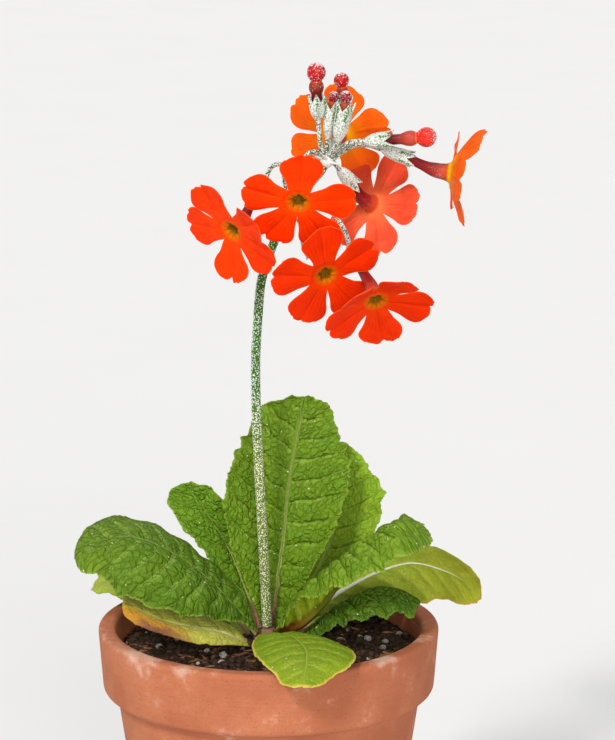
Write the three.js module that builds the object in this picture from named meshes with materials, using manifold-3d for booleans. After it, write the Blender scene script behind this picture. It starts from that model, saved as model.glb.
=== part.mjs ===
// A candelabra primrose in a clay pot: compost, a rosette of crinkled leaves, and one mealy
// scape with two whorls of notched orange flowers and a tuft of buds.
// Millimetres, +Z up, the origin at the middle of the underside of the pot.

import * as THREE from 'three';
import { mergeVertices } from 'three/addons/utils/BufferGeometryUtils.js';
import Module from 'manifold-3d';

const wasm = await Module();
wasm.setup();

// Driving dimensions of the pot and the compost
const POT_TOP_RADIUS = 45;
const POT_FOOT_RADIUS = 30;
const POT_HEIGHT = 86.5;
const POT_WALL = 4.5;
const POT_FLOOR = 5;
const POT_SIDES = 32;
const BAND_HEIGHT = 17;
const BAND_STEP = 2.2;
const DRAIN_RADIUS = 3.5;
const DRAIN_DISTANCE = 16;
const DRAIN_COUNT = 3;
const GAP = 0.3;
const SOIL_DROP = 5.5;
const SOIL_LUMP = 0.6;
const SOIL_HOLE_RADIUS = 8.4;
const SOIL_HOLE_DEPTH = 18;

// Height of the crown, where the leaves leave the rootstock
const CROWN_HEIGHT = 84;

// Driving dimensions of the leaves
const LEAF_HALF_THICKNESS = 0.4;
const LEAF_EDGE_HALF_THICKNESS = 0.34;
const RIB_DEPTH_AT_FOOT = 1.1;
const RIB_DEPTH_AT_TIP = 0.25;
const TOOTH = 0.9;
const LEAF_ROWS = 18;
const ROUND_END_START = 6 / 7;
const ROUND_END_ANGLES = [26, 50, 70, 84];
const ROUND_END_WIDTH = 0.85;

// Driving dimensions of the flowers
const LOBE_REACH = 14.6;
const EYE_RADIUS = 3;
const LOBE_HALF_WIDTH = 6;
const LOBE_NOTCH = 0.15;
const PETAL_THICKNESS = 0.62;
const THROAT_DEPTH = 2;
const TUBE_MOUTH_RADIUS = 2.05;
const TUBE_FOOT_RADIUS = 1.1;
const CALYX_LENGTH = 9;
const CALYX_RADIUS = 1.85;
const CALYX_MOUTH_RADIUS = 1.5;
const CALYX_TEETH = 5;
const PEDICEL_RADIUS = 0.6;
const STEM_FOOT_RADIUS = 1.3;
const STEM_TOP_RADIUS = 1.1;

// Leaves, in millimetres from the crown. Each has a rib of eight points from the foot to the
// tip, and the points of its left and right edges beside the first seven. bulge lifts the
// middle of each half blade, ruffle is the height of the waves along the edge.
const LEAVES = {
  leaf_1: {
    rib: [[0.3, 3.1, 0.4], [1.5, 4.5, 5], [2.5, 6, 14], [4, 8, 24.5], [5, 10, 35.5], [6.5, 11.5, 45.5],
      [8.5, 12.5, 55.5], [9.5, 13, 61]],
    left: [[-1.1, 3, 0.4], [-2.6, 2, 5.5], [-6.5, 2, 14.5], [-10.5, 4, 25], [-11, 6.5, 37.5],
      [-8, 9.5, 46.5], [-2.5, 12.5, 56]],
    right: [[1.7, 3, 0.4], [4.6, 2, 5.5], [10, 2, 14.5], [16.5, 3.5, 25.5], [20, 6.5, 37],
      [20, 10, 46], [16, 13.5, 55]],
    bulge: [-0.8, -0.8],
    ruffle: 0.6,
  },
  leaf_2: {
    rib: [[3.5, 4.2, -2.8], [7.5, 8.5, 3], [12, 12, 11.5], [16, 15, 19.5], [19, 17.5, 28],
      [20, 19.5, 35], [20, 21, 42], [19, 22, 46.5]],
    left: [[2.3, 5.2, -2.8], [5, 10, 3.5], [8, 13, 13.5], [9, 19.5, 20.5], [10.5, 23, 29.5],
      [12, 25, 36], [14, 25.5, 42]],
    right: [[4.7, 3.2, -2.8], [10, 7, 3], [17, 9, 10], [25, 11, 18.5], [29.5, 14, 28.5],
      [29.5, 16, 36], [25.5, 18.5, 42]],
    bulge: [0.8, 0.8],
    ruffle: 0.5,
  },
  leaf_3: {
    rib: [[-2.7, 1.9, 0.4], [-4.1, 5.5, 3.8], [-6, 8.5, 8], [-8.5, 10.5, 14.5], [-12, 12.5, 21.5],
      [-16, 13.5, 28], [-19, 14, 33], [-23, 14, 37]],
    left: [[-3.3, 0.9, 0.4], [-5.6, 4.5, 4], [-7.8, 6.8, 8.3], [-12.5, 8, 14], [-18, 8, 21.5],
      [-23, 9.5, 27], [-26, 11.5, 32]],
    right: [[-2, 2.9, 0.4], [-3, 6.1, 4], [-4.5, 8, 9], [-5.8, 9.5, 16], [-8, 10.5, 24],
      [-11, 10.8, 31], [-15, 12, 35]],
    bulge: [0.6, 0.6],
    ruffle: 0.4,
  },
  leaf_4: {
    rib: [[-3, -0.8, 0.4], [-8.5, -3, 7], [-15, -5, 15], [-21.5, -6.5, 21], [-29, -8, 26],
      [-36.5, -9, 28.5], [-43.5, -10, 27.5], [-50, -10, 25.5]],
    left: [[-2.6, -2.2, 0.4], [-7.5, -6.3, 5], [-13.5, -11, 7.5], [-20.5, -15.5, 10],
      [-29, -16.5, 12], [-37, -17, 15.5], [-44.5, -17, 21]],
    right: [[-3.2, 0.6, 0.4], [-6.5, 0.5, 8.5], [-12.5, 3.5, 15.5], [-19, 5, 20.5], [-26, 5.5, 25.5],
      [-34.5, 4.5, 29.5], [-43, 0.5, 31]],
    bulge: [2.4, 0.8],
    ruffle: 0.5,
  },
  leaf_5: {
    rib: [[-4.5, -3.1, -2.8], [-8, -5.5, 0], [-13, -8, 3.6], [-19, -10, 6], [-25.5, -11.5, 8],
      [-30.5, -12.5, 10], [-34.5, -13, 11.5], [-37.5, -13, 12]],
    left: [[-3.7, -4.3, -2.8], [-7.5, -9, -0.8], [-13.5, -14.5, 1.2], [-19.5, -18, 3],
      [-25.5, -20, 5.5], [-31, -20.5, 7.5], [-35, -19, 9]],
    right: [[-5.2, -1.9, -2.8], [-8, -2.4, 0.8], [-13.5, -1.5, 4], [-19, -1, 6], [-25.5, -1, 8],
      [-31, -2.5, 10], [-36, -6, 11.5]],
    bulge: [1, 0.8],
    ruffle: 0.5,
  },
  leaf_6: {
    rib: [[-0.2, -5.4, -2.8], [2.5, -13, 3], [6, -22, 5.5], [8.5, -31, 6.4], [10, -39, 6.6],
      [10, -46, 5.9], [9.5, -51.5, 4.6], [9, -55, 3]],
    left: [[1.2, -5.4, -2.8], [7, -10.5, 2.5], [12, -17, 4], [17.5, -25, 4.8], [22, -36, 5],
      [20.5, -43.5, 4.6], [15.5, -49.5, 3.2]],
    right: [[-1.6, -5.4, -2.8], [-1.5, -11.5, 2.6], [-3, -20, 4], [-3.5, -27.5, 4.6],
      [-2.5, -35.5, 4.8], [0, -43, 4.6], [3.5, -49.5, 3]],
    bulge: [0.9, 0.9],
    ruffle: 0.4,
  },
  leaf_7: {
    rib: [[2, -2.5, 0.4], [8, -7.5, 3.6], [13.5, -11, 9.5], [18.5, -14, 16.5], [24.5, -18, 23],
      [30, -21, 28.5], [36, -24, 32.5], [41.5, -27, 32.5]],
    left: [[3.2, -1.8, 0.4], [9, -5, 4.6], [14, -6, 12], [19.5, -7.8, 20.5], [26, -8.5, 27],
      [31, -12, 32.5], [36.5, -16.5, 35.5]],
    right: [[1, -3.3, 0.4], [4.6, -10, 5.8], [7.5, -14, 12], [13.5, -19, 16], [20.5, -24, 20.5],
      [28, -28, 25.5], [34.5, -30, 29.5]],
    right_ridge: [[1.5, -2.9, 0.4], [5.5, -8, 8], [9.5, -11, 15], [15.5, -15, 22], [20.5, -20, 27.5],
      [26.5, -24, 33], [32.5, -27, 37.5]],
    bulge: [1, 1],
    ruffle: 0.7,
  },
  leaf_8: {
    rib: [[3.2, 0, 0.4], [8.5, 0.2, 4], [14, -1, 9], [20, -3, 14.2], [28.5, -4.5, 19.2], [37.5, -6, 22],
      [46, -8, 20], [55.5, -10, 14.5]],
    left: [[3.1, 1.3, 0.2], [9.6, 2.2, 2.8], [17, 3.5, 4.5], [23, 3.5, 6.8], [31.5, 1.5, 8],
      [39.5, -1.5, 9], [47, -4.5, 10.5]],
    right: [[3.2, -1.2, 0.8], [8, -0.7, 5.6], [13, -2.2, 11.4], [19, -5, 16.6], [27.5, -9, 23.4],
      [36, -14.5, 27], [46.5, -15.5, 26]],
    bulge: [0.8, 0.8],
    ruffle: 0.4,
  },
  leaf_9: {
    rib: [[4.4, -3.1, -2.8], [8.5, -4.6, 0.8], [13.5, -6.5, 5.8], [18.5, -9, 10.5], [24, -10.5, 14],
      [29, -11, 15.6], [34.5, -11, 14.8], [39.5, -11, 12]],
    left: [[5.1, -2.1, -2.8], [8.9, -2.8, 0.6], [14.2, -3.6, 4], [20, -4.8, 6.5], [25, -5.5, 8.5],
      [30.5, -6.5, 8.6], [35, -7.5, 9.6]],
    right: [[3.7, -4.1, -2.8], [8.6, -6.4, 0.4], [14.5, -10, 3.8], [20, -14.5, 7.6], [25, -17.5, 9.6],
      [30.5, -18, 10], [35, -16, 10.4]],
    bulge: [1, 1.4],
    ruffle: 0.8,
  },
  leaf_10: {
    rib: [[-5, 2, -2.8], [-9, 7.5, 0.6], [-15, 12, 3.5], [-23.5, 15, 6], [-31, 17, 7.5],
      [-38.5, 18, 9], [-43.5, 18.5, 8.5], [-47.5, 18.5, 7.5]],
    left: [[-5.5, 0.9, -2.8], [-9.5, 4.5, 0.4], [-15.5, 6, 1.6], [-23.5, 6, 4], [-31, 7, 5.8],
      [-39, 9, 7], [-44.5, 12, 7.5]],
    right: [[-4.5, 3.1, -2.8], [-7.5, 10.5, 1], [-14, 18, 3.5], [-22.5, 24, 5.5], [-30.5, 27, 7.5],
      [-38.5, 27, 8.5], [-44, 25, 8.5]],
    bulge: [1, 1],
    ruffle: 0.5,
  },
  leaf_11: {
    rib: [[-1, 5.3, -2.8], [-1.4, 11, 1], [-1, 18, 4], [0, 25, 7.5], [1.5, 32, 10], [3, 38.5, 11],
      [4, 44, 10], [4.5, 48, 8]],
    left: [[-2.2, 5.1, -2.8], [-4, 11, 1.4], [-6, 18.5, 4], [-8.5, 26, 6.5], [-9.5, 34, 8],
      [-7.5, 41, 8.5], [-3, 46, 8]],
    right: [[0.3, 5.4, -2.8], [1.6, 11.5, 1.4], [5, 18, 4.4], [8.5, 24, 6.5], [12, 30, 8],
      [13.5, 36.5, 8.5], [11.5, 43, 8]],
    bulge: [1, 1],
    ruffle: 0.5,
  },
  leaf_12: {
    rib: [[5.3, 1.5, -2.8], [11, 5.5, 0], [17, 10, 1.6], [23, 15, 3], [29, 20, 4.2], [34.5, 24.5, 5.5],
      [38.5, 28, 6], [42, 30.5, 5.5]],
    left: [[4.8, 2.6, -2.8], [9.5, 7.5, 0.2], [13.5, 14, 2], [17.5, 21, 3], [22, 27.5, 4],
      [28, 32.5, 5], [34, 34, 5.2]],
    right: [[5.7, 0.4, -2.8], [12, 3.6, -0.2], [20, 6.2, 1], [28, 9.5, 2.2], [34.5, 13.5, 3.5],
      [40, 18.5, 4.6], [42.5, 24, 5.2]],
    bulge: [0.8, 0.8],
    ruffle: 0.4,
  },
};

// Route of the scape, in millimetres from the crown
const STEM_ROUTE = [[-0.4, 0, 1.7], [-1.7, 0, 30.5], [-2.5, 0, 46], [-3.2, 0, 66], [-3.1, 0, 76],
  [-2.4, 0, 87], [-1.7, 0, 94], [0, 0, 100], [2.6, 0, 107], [6, 0, 113.5], [10.3, 0, 119],
  [14, 0, 123.5], [16, 0, 127]];
const LOWER_WHORL = [6, 0, 113.5];
const UPPER_WHORL = [15.2, 0, 125.6];

// Flowers: the middle of the limb, the way it faces as an azimuth and an elevation, the turn
// and the lift of each lobe, with its reach where that is short, the base of its calyx, and
// its stalk's route.
const FLOWERS = {
  flower_1: {
    centre: [-9, -12, 109.5],
    face: [-130, -24],
    lobes: [[30, 12], [114, 6], [179, 0], [258, 16], [318, 2]],
    calyx: [-0.8, 2.6, 119.6],
    stalk: [LOWER_WHORL, [4.6, 0.6, 119.5], [3.4, 1.2, 124.6], [1.2, 2, 124]],
  },
  flower_2: {
    centre: [8, -20, 118],
    face: [-94, -28],
    lobes: [[4, 0], [84, 0], [163, 0], [232, 0], [298, 0]],
    calyx: [9.2, -3.4, 126.4],
    stalk: [UPPER_WHORL, [12.6, -1.2, 128.2], [10.6, -2.2, 128]],
  },
  flower_3: {
    centre: [15, -20, 99.5],
    face: [-70, -24],
    lobes: [[33, 0], [105, 0], [177, 0], [249, 0], [316, 8, 13.2]],
    calyx: [9.4, -4.6, 106.4],
    stalk: [LOWER_WHORL, [7, -1.8, 113.2], [8.4, -3.2, 110]],
  },
  flower_4: {
    centre: [27.5, -24, 93.5],
    face: [-74, -38],
    lobes: [[69, 16], [141, 16], [213, 16], [285, 12], [357, 16]],
    calyx: [21, -4.5, 104.5],
    stalk: [LOWER_WHORL, [11, 0.4, 114.6], [16.4, -1.2, 112.6], [19.6, -3, 108.6]],
  },
  flower_5: {
    centre: [27.5, 12, 112.5],
    face: [48, -24],
    lobes: [[33, 8], [108, 2], [172, 4], [241, 5], [319, -1]],
    calyx: [18.4, 1.6, 123.4],
    stalk: [UPPER_WHORL, [16.8, 0.6, 125.4], [17.6, 1.1, 124.4]],
  },
  flower_6: {
    centre: [18.5, 23, 129.5],
    face: [78, 21],
    lobes: [[36, 8], [102, 8], [165, -2], [240, 12], [330, 2]],
    calyx: [16.6, 3.6, 126.8],
    stalk: [UPPER_WHORL, [15.8, 1.4, 126.4], [16.2, 2.4, 126.6]],
  },
  flower_7: {
    centre: [47.5, 1, 122.5],
    face: [-4, -7],
    lobes: [[35, 2], [107, 30], [179, 16], [251, 20], [323, 2]],
    calyx: [29.5, 0, 128.6],
    stalk: [UPPER_WHORL, [18.6, 0, 127.6], [22, 0, 129.6], [25.5, 0, 129.8]],
  },
};

// Buds: the base and the mouth of the calyx, the middle of the head, the radius of the head,
// the radius of the swelling under it, and the route of its stalk.
const BUDS = {
  bud_1: {
    calyx: [13, -0.4, 136.4],
    mouth: [12.6, -0.4, 142.6],
    head: [12.5, -0.4, 148.5],
    head_radius: 2.45,
    swelling: 1.9,
    stalk: [UPPER_WHORL, [13.8, -0.2, 129], [13.3, -0.4, 133]],
  },
  bud_2: {
    calyx: [19.6, 3.4, 134.5],
    mouth: [19.4, 3.7, 141.2],
    head: [19, 4, 146],
    head_radius: 2,
    swelling: 1.5,
    stalk: [UPPER_WHORL, [17.4, 1.4, 129.6], [19.2, 2.8, 132]],
  },
  bud_3: {
    calyx: [18, -2.6, 131.2],
    mouth: [19.4, -3, 138],
    head: [20, -3.2, 142.5],
    head_radius: 1.65,
    swelling: 1.3,
    stalk: [UPPER_WHORL, [16.4, -1.2, 128.2], [17.4, -2, 129.8]],
  },
  bud_4: {
    calyx: [15.6, 0.6, 131.6],
    mouth: [16.4, 0.4, 138.2],
    head: [17, 0.2, 142.2],
    head_radius: 1.4,
    swelling: 1.15,
    stalk: [UPPER_WHORL, [15.2, 0.4, 128.6], [15.3, 0.5, 130]],
  },
  bud_5: {
    calyx: [25, -3.2, 131.2],
    mouth: [31.8, -4, 131.7],
    head: [40.5, -5, 132.5],
    head_radius: 2.6,
    swelling: 1.95,
    stalk: [UPPER_WHORL, [17.4, -1, 128.4], [19.6, -1.8, 130], [22, -2.5, 131]],
  },
};

// Bracts: the azimuth and the elevation of each pointed scale round a whorl
const BRACTS = [
  { whorl: UPPER_WHORL, aims: [[-165, 25], [-110, 30], [-35, -8], [40, 10], [110, 15], [165, 10]] },
  { whorl: LOWER_WHORL, aims: [[-150, 10], [-60, 5], [20, 15], [110, 10]] },
];
const BRACT_LENGTH = 4.6;

const radians = THREE.MathUtils.degToRad;
const vector = ([x, y, z]) => new THREE.Vector3(x, y, z);

function direction(azimuth, elevation) {
  const flat = Math.cos(radians(elevation));
  return new THREE.Vector3(
    flat * Math.cos(radians(azimuth)),
    flat * Math.sin(radians(azimuth)),
    Math.sin(radians(elevation)),
  );
}

// A geometry from points and triangles, turned inside out where its volume is negative
function geometryFrom(points, triangles) {
  let volume = 0;
  for (const [a, b, c] of triangles) {
    volume += points[a].dot(points[b].clone().cross(points[c]));
  }
  const index = triangles.flatMap(([a, b, c]) => (volume > 0 ? [a, b, c] : [a, c, b]));
  const geometry = new THREE.BufferGeometry();
  geometry.setAttribute('position', new THREE.Float32BufferAttribute(points.flatMap((p) => p.toArray()), 3));
  geometry.setIndex(index);
  return geometry;
}

function solidFrom(geometry) {
  const bare = geometry.clone();
  bare.deleteAttribute('normal');
  bare.deleteAttribute('uv');
  const merged = mergeVertices(bare, 1e-4);
  return new wasm.Manifold(new wasm.Mesh({
    numProp: 3,
    vertProperties: new Float32Array(merged.attributes.position.array),
    triVerts: new Uint32Array(merged.index.array),
  }));
}

function geometryOf(solid) {
  const mesh = solid.getMesh();
  const geometry = new THREE.BufferGeometry();
  geometry.setAttribute('position', new THREE.BufferAttribute(new Float32Array(mesh.vertProperties), 3));
  geometry.setIndex(new THREE.BufferAttribute(new Uint32Array(mesh.triVerts), 1));
  return geometry;
}

// Rings of points closed at both ends by a point on the axis
function ringSolid(start, rings, end) {
  const sides = rings[0].length;
  const points = [start, ...rings.flat(), end];
  const last = points.length - 1;
  const at = (ring, side) => 1 + ring * sides + (side % sides);
  const triangles = [];
  for (let side = 0; side < sides; side += 1) {
    triangles.push([0, at(0, side + 1), at(0, side)]);
    triangles.push([last, at(rings.length - 1, side), at(rings.length - 1, side + 1)]);
    for (let ring = 0; ring < rings.length - 1; ring += 1) {
      triangles.push([at(ring, side), at(ring, side + 1), at(ring + 1, side + 1)]);
      triangles.push([at(ring, side), at(ring + 1, side + 1), at(ring + 1, side)]);
    }
  }
  return geometryFrom(points, triangles);
}

// A round stalk along a curve, its radius given at even steps along it
function stalk(curve, radii, sides) {
  const steps = radii.length - 1;
  const frames = curve.computeFrenetFrames(steps, false);
  const rings = radii.map((radius, step) => {
    const centre = curve.getPointAt(step / steps);
    return Array.from({ length: sides }, (_, side) => {
      const angle = (2 * Math.PI * side) / sides;
      return centre.clone()
        .addScaledVector(frames.normals[step], radius * Math.cos(angle))
        .addScaledVector(frames.binormals[step], radius * Math.sin(angle));
    });
  });
  return ringSolid(curve.getPointAt(0), rings, curve.getPointAt(1));
}

// The clay pot: a tapering wall under a thicker band, with drain holes through its floor
function potGeometry() {
  const band = POT_HEIGHT - BAND_HEIGHT;
  const slope = (POT_TOP_RADIUS - BAND_STEP - POT_FOOT_RADIUS) / POT_HEIGHT;
  const wallAt = (height) => POT_FOOT_RADIUS + slope * height;
  const profile = [
    [0, 0],
    [POT_FOOT_RADIUS - 1, 0],
    [POT_FOOT_RADIUS, 1],
    [wallAt(band - 1), band - 1],
    [POT_TOP_RADIUS - 1.4, band],
    [POT_TOP_RADIUS - 1, band + 1],
    [POT_TOP_RADIUS, POT_HEIGHT - 1.2],
    [POT_TOP_RADIUS - 1.2, POT_HEIGHT],
    [POT_TOP_RADIUS - POT_WALL + 1, POT_HEIGHT],
    [POT_TOP_RADIUS - POT_WALL, POT_HEIGHT - 1],
    [wallAt(POT_FLOOR) - POT_WALL, POT_FLOOR],
    [0, POT_FLOOR],
  ];
  let pot = solidFrom(new THREE.LatheGeometry(profile.map(([r, z]) => new THREE.Vector2(r, z)), POT_SIDES)
    .rotateX(Math.PI / 2));
  for (let hole = 0; hole < DRAIN_COUNT; hole += 1) {
    const angle = (2 * Math.PI * hole) / DRAIN_COUNT + Math.PI / 6;
    const drill = new THREE.CylinderGeometry(DRAIN_RADIUS, DRAIN_RADIUS, 3 * POT_FLOOR, 16).rotateX(Math.PI / 2);
    drill.translate(DRAIN_DISTANCE * Math.cos(angle), DRAIN_DISTANCE * Math.sin(angle), POT_FLOOR / 2);
    pot = pot.subtract(solidFrom(drill));
  }
  return geometryOf(pot);
}

// The compost fills the pot to a little under its rim, with a plain hole for the rootstock
function compostGeometry() {
  const floorRadius = POT_FOOT_RADIUS - POT_WALL;
  const inside = (height) => {
    const run = (height - POT_FLOOR) / (POT_HEIGHT - 1 - POT_FLOOR);
    return THREE.MathUtils.lerp(floorRadius, POT_TOP_RADIUS - POT_WALL, run) - 2 * GAP;
  };
  const surface = POT_HEIGHT - SOIL_DROP;
  const sides = 32;
  const ringAt = (radius, height, lump) => Array.from({ length: sides }, (_, side) => {
    const angle = (2 * Math.PI * side) / sides;
    const rise = lump * (Math.sin(3 * angle + radius) + Math.cos(7 * angle - 0.6 * radius));
    return new THREE.Vector3(radius * Math.cos(angle), radius * Math.sin(angle), height + rise);
  });
  const foot = POT_FLOOR + GAP;
  const rings = [
    ringAt(floorRadius - 1, foot, 0),
    ringAt(inside(surface - 2), surface - 2, 0),
    ringAt(inside(surface) - 1, surface, SOIL_LUMP / 2),
    ringAt(30, surface, SOIL_LUMP),
    ringAt(20, surface + 0.2, SOIL_LUMP),
    ringAt(13, surface - 0.3, SOIL_LUMP / 2),
  ];
  const body = solidFrom(ringSolid(
    new THREE.Vector3(0, 0, foot),
    rings,
    new THREE.Vector3(0, 0, surface - 2),
  ));
  const hole = new THREE.CylinderGeometry(SOIL_HOLE_RADIUS, SOIL_HOLE_RADIUS - 2, 2 * SOIL_HOLE_DEPTH, 20)
    .rotateX(Math.PI / 2);
  hole.translate(0, 0, surface);
  return geometryOf(body.subtract(solidFrom(hole)));
}

// The short rootstock that the leaves and the scape stand on
function crownGeometry() {
  const profile = [
    [0, -17],
    [3, -17],
    [4.2, -12],
    [4.2, -1.4],
    [2.2, -0.4],
    [1.7, 1.2],
    [0, 1.2],
  ];
  return new THREE.LatheGeometry(profile.map(([r, z]) => new THREE.Vector2(r, z)), 14).rotateX(Math.PI / 2);
}

// Both faces of a thin blade from its middle surface, its normals and its half thicknesses
function bladeGeometry(rows, upper, lower) {
  const height = rows.length;
  const width = rows[0].length;
  const clampTo = (value, top) => Math.min(Math.max(value, 0), top);
  const points = [];
  for (const side of [1, -1]) {
    for (let i = 0; i < height; i += 1) {
      for (let j = 0; j < width; j += 1) {
        const along = rows[clampTo(i + 1, height - 1)][j].clone().sub(rows[clampTo(i - 1, height - 1)][j]);
        const across = rows[i][clampTo(j + 1, width - 1)].clone().sub(rows[i][clampTo(j - 1, width - 1)]);
        const normal = across.cross(along).normalize();
        const shift = side > 0 ? upper(i, j) : -lower(i, j);
        points.push(rows[i][j].clone().addScaledVector(normal, shift));
      }
    }
  }
  const at = (face, i, j) => face * height * width + i * width + j;
  const triangles = [];
  const quad = (a, b, c, d) => triangles.push([a, b, c], [a, c, d]);
  for (let i = 0; i < height - 1; i += 1) {
    for (let j = 0; j < width - 1; j += 1) {
      quad(at(0, i, j), at(0, i, j + 1), at(0, i + 1, j + 1), at(0, i + 1, j));
      const [a, b, c, d] = [at(1, i, j), at(1, i, j + 1), at(1, i + 1, j + 1), at(1, i + 1, j)];
      triangles.push([a, c, b], [a, d, c]);
    }
    quad(at(0, i, 0), at(0, i + 1, 0), at(1, i + 1, 0), at(1, i, 0));
    quad(at(0, i + 1, width - 1), at(0, i, width - 1), at(1, i, width - 1), at(1, i + 1, width - 1));
  }
  for (let j = 0; j < width - 1; j += 1) {
    quad(at(0, 0, j + 1), at(0, 0, j), at(1, 0, j), at(1, 0, j + 1));
    quad(at(0, height - 1, j), at(0, height - 1, j + 1), at(1, height - 1, j + 1), at(1, height - 1, j));
  }
  return geometryFrom(points, triangles);
}

// Places along a leaf: even rows, then closer ones that turn its end round
function leafPlaces() {
  const even = Array.from({ length: LEAF_ROWS + 1 }, (_, row) => ({
    place: (ROUND_END_START * row) / LEAF_ROWS,
    width: 1,
  }));
  const round = ROUND_END_ANGLES.map((angle) => ({
    place: ROUND_END_START + (1 - ROUND_END_START) * Math.sin(radians(angle)),
    width: Math.cos(radians(angle)),
  }));
  return [...even, ...round];
}

// A leaf: a blade strung between its rib and its toothed edges, round at the end, with the
// rib standing out underneath
function leafGeometry(leaf) {
  const rib = new THREE.CatmullRomCurve3(leaf.rib.map(vector));
  const tip = vector(leaf.rib[7]);
  const railOf = (points) => {
    const end = tip.clone().addScaledVector(vector(points[6]).sub(vector(leaf.rib[6])), ROUND_END_WIDTH);
    return new THREE.CatmullRomCurve3([...points.map(vector), end]);
  };
  const edges = [railOf(leaf.left), railOf(leaf.right)];
  const ridge = leaf.right_ridge ? railOf(leaf.right_ridge) : null;
  const places = leafPlaces();
  const rows = places.map(({ place, width }, row) => {
    const middle = rib.getPoint(place);
    const along = rib.getTangent(place);
    const normal = edges[1].getPoint(place).sub(edges[0].getPoint(place)).cross(along).normalize();
    const halves = edges.map((edge, side) => {
      const reach = edge.getPoint(place).sub(middle).multiplyScalar(width);
      const wave = leaf.ruffle * Math.sin(row * 1.9 + side) * Math.min(1, reach.length() / 8);
      const tooth = row % 2 && reach.length() > 2 ? TOOTH : 0;
      const crest = middle.clone().addScaledVector(reach, 0.5)
        .addScaledVector(normal, (leaf.bulge[side] * reach.length()) / 12);
      if (side === 1 && ridge) {
        crest.copy(middle).addScaledVector(ridge.getPoint(place).sub(middle), width);
      }
      const margin = middle.clone().add(reach)
        .addScaledVector(reach.clone().normalize(), tooth)
        .addScaledVector(normal, wave);
      return [crest, margin];
    });
    return [halves[0][1], halves[0][0], middle, halves[1][0], halves[1][1]];
  });
  const thickness = (i, j) => (j === 0 || j === 4 ? LEAF_EDGE_HALF_THICKNESS : LEAF_HALF_THICKNESS);
  const ribDepth = (i) => THREE.MathUtils.lerp(RIB_DEPTH_AT_FOOT, RIB_DEPTH_AT_TIP, Math.sqrt(places[i].place));
  return bladeGeometry(rows, thickness, (i, j) => thickness(i, j) + (j === 2 ? ribDepth(i) : 0));
}

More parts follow.
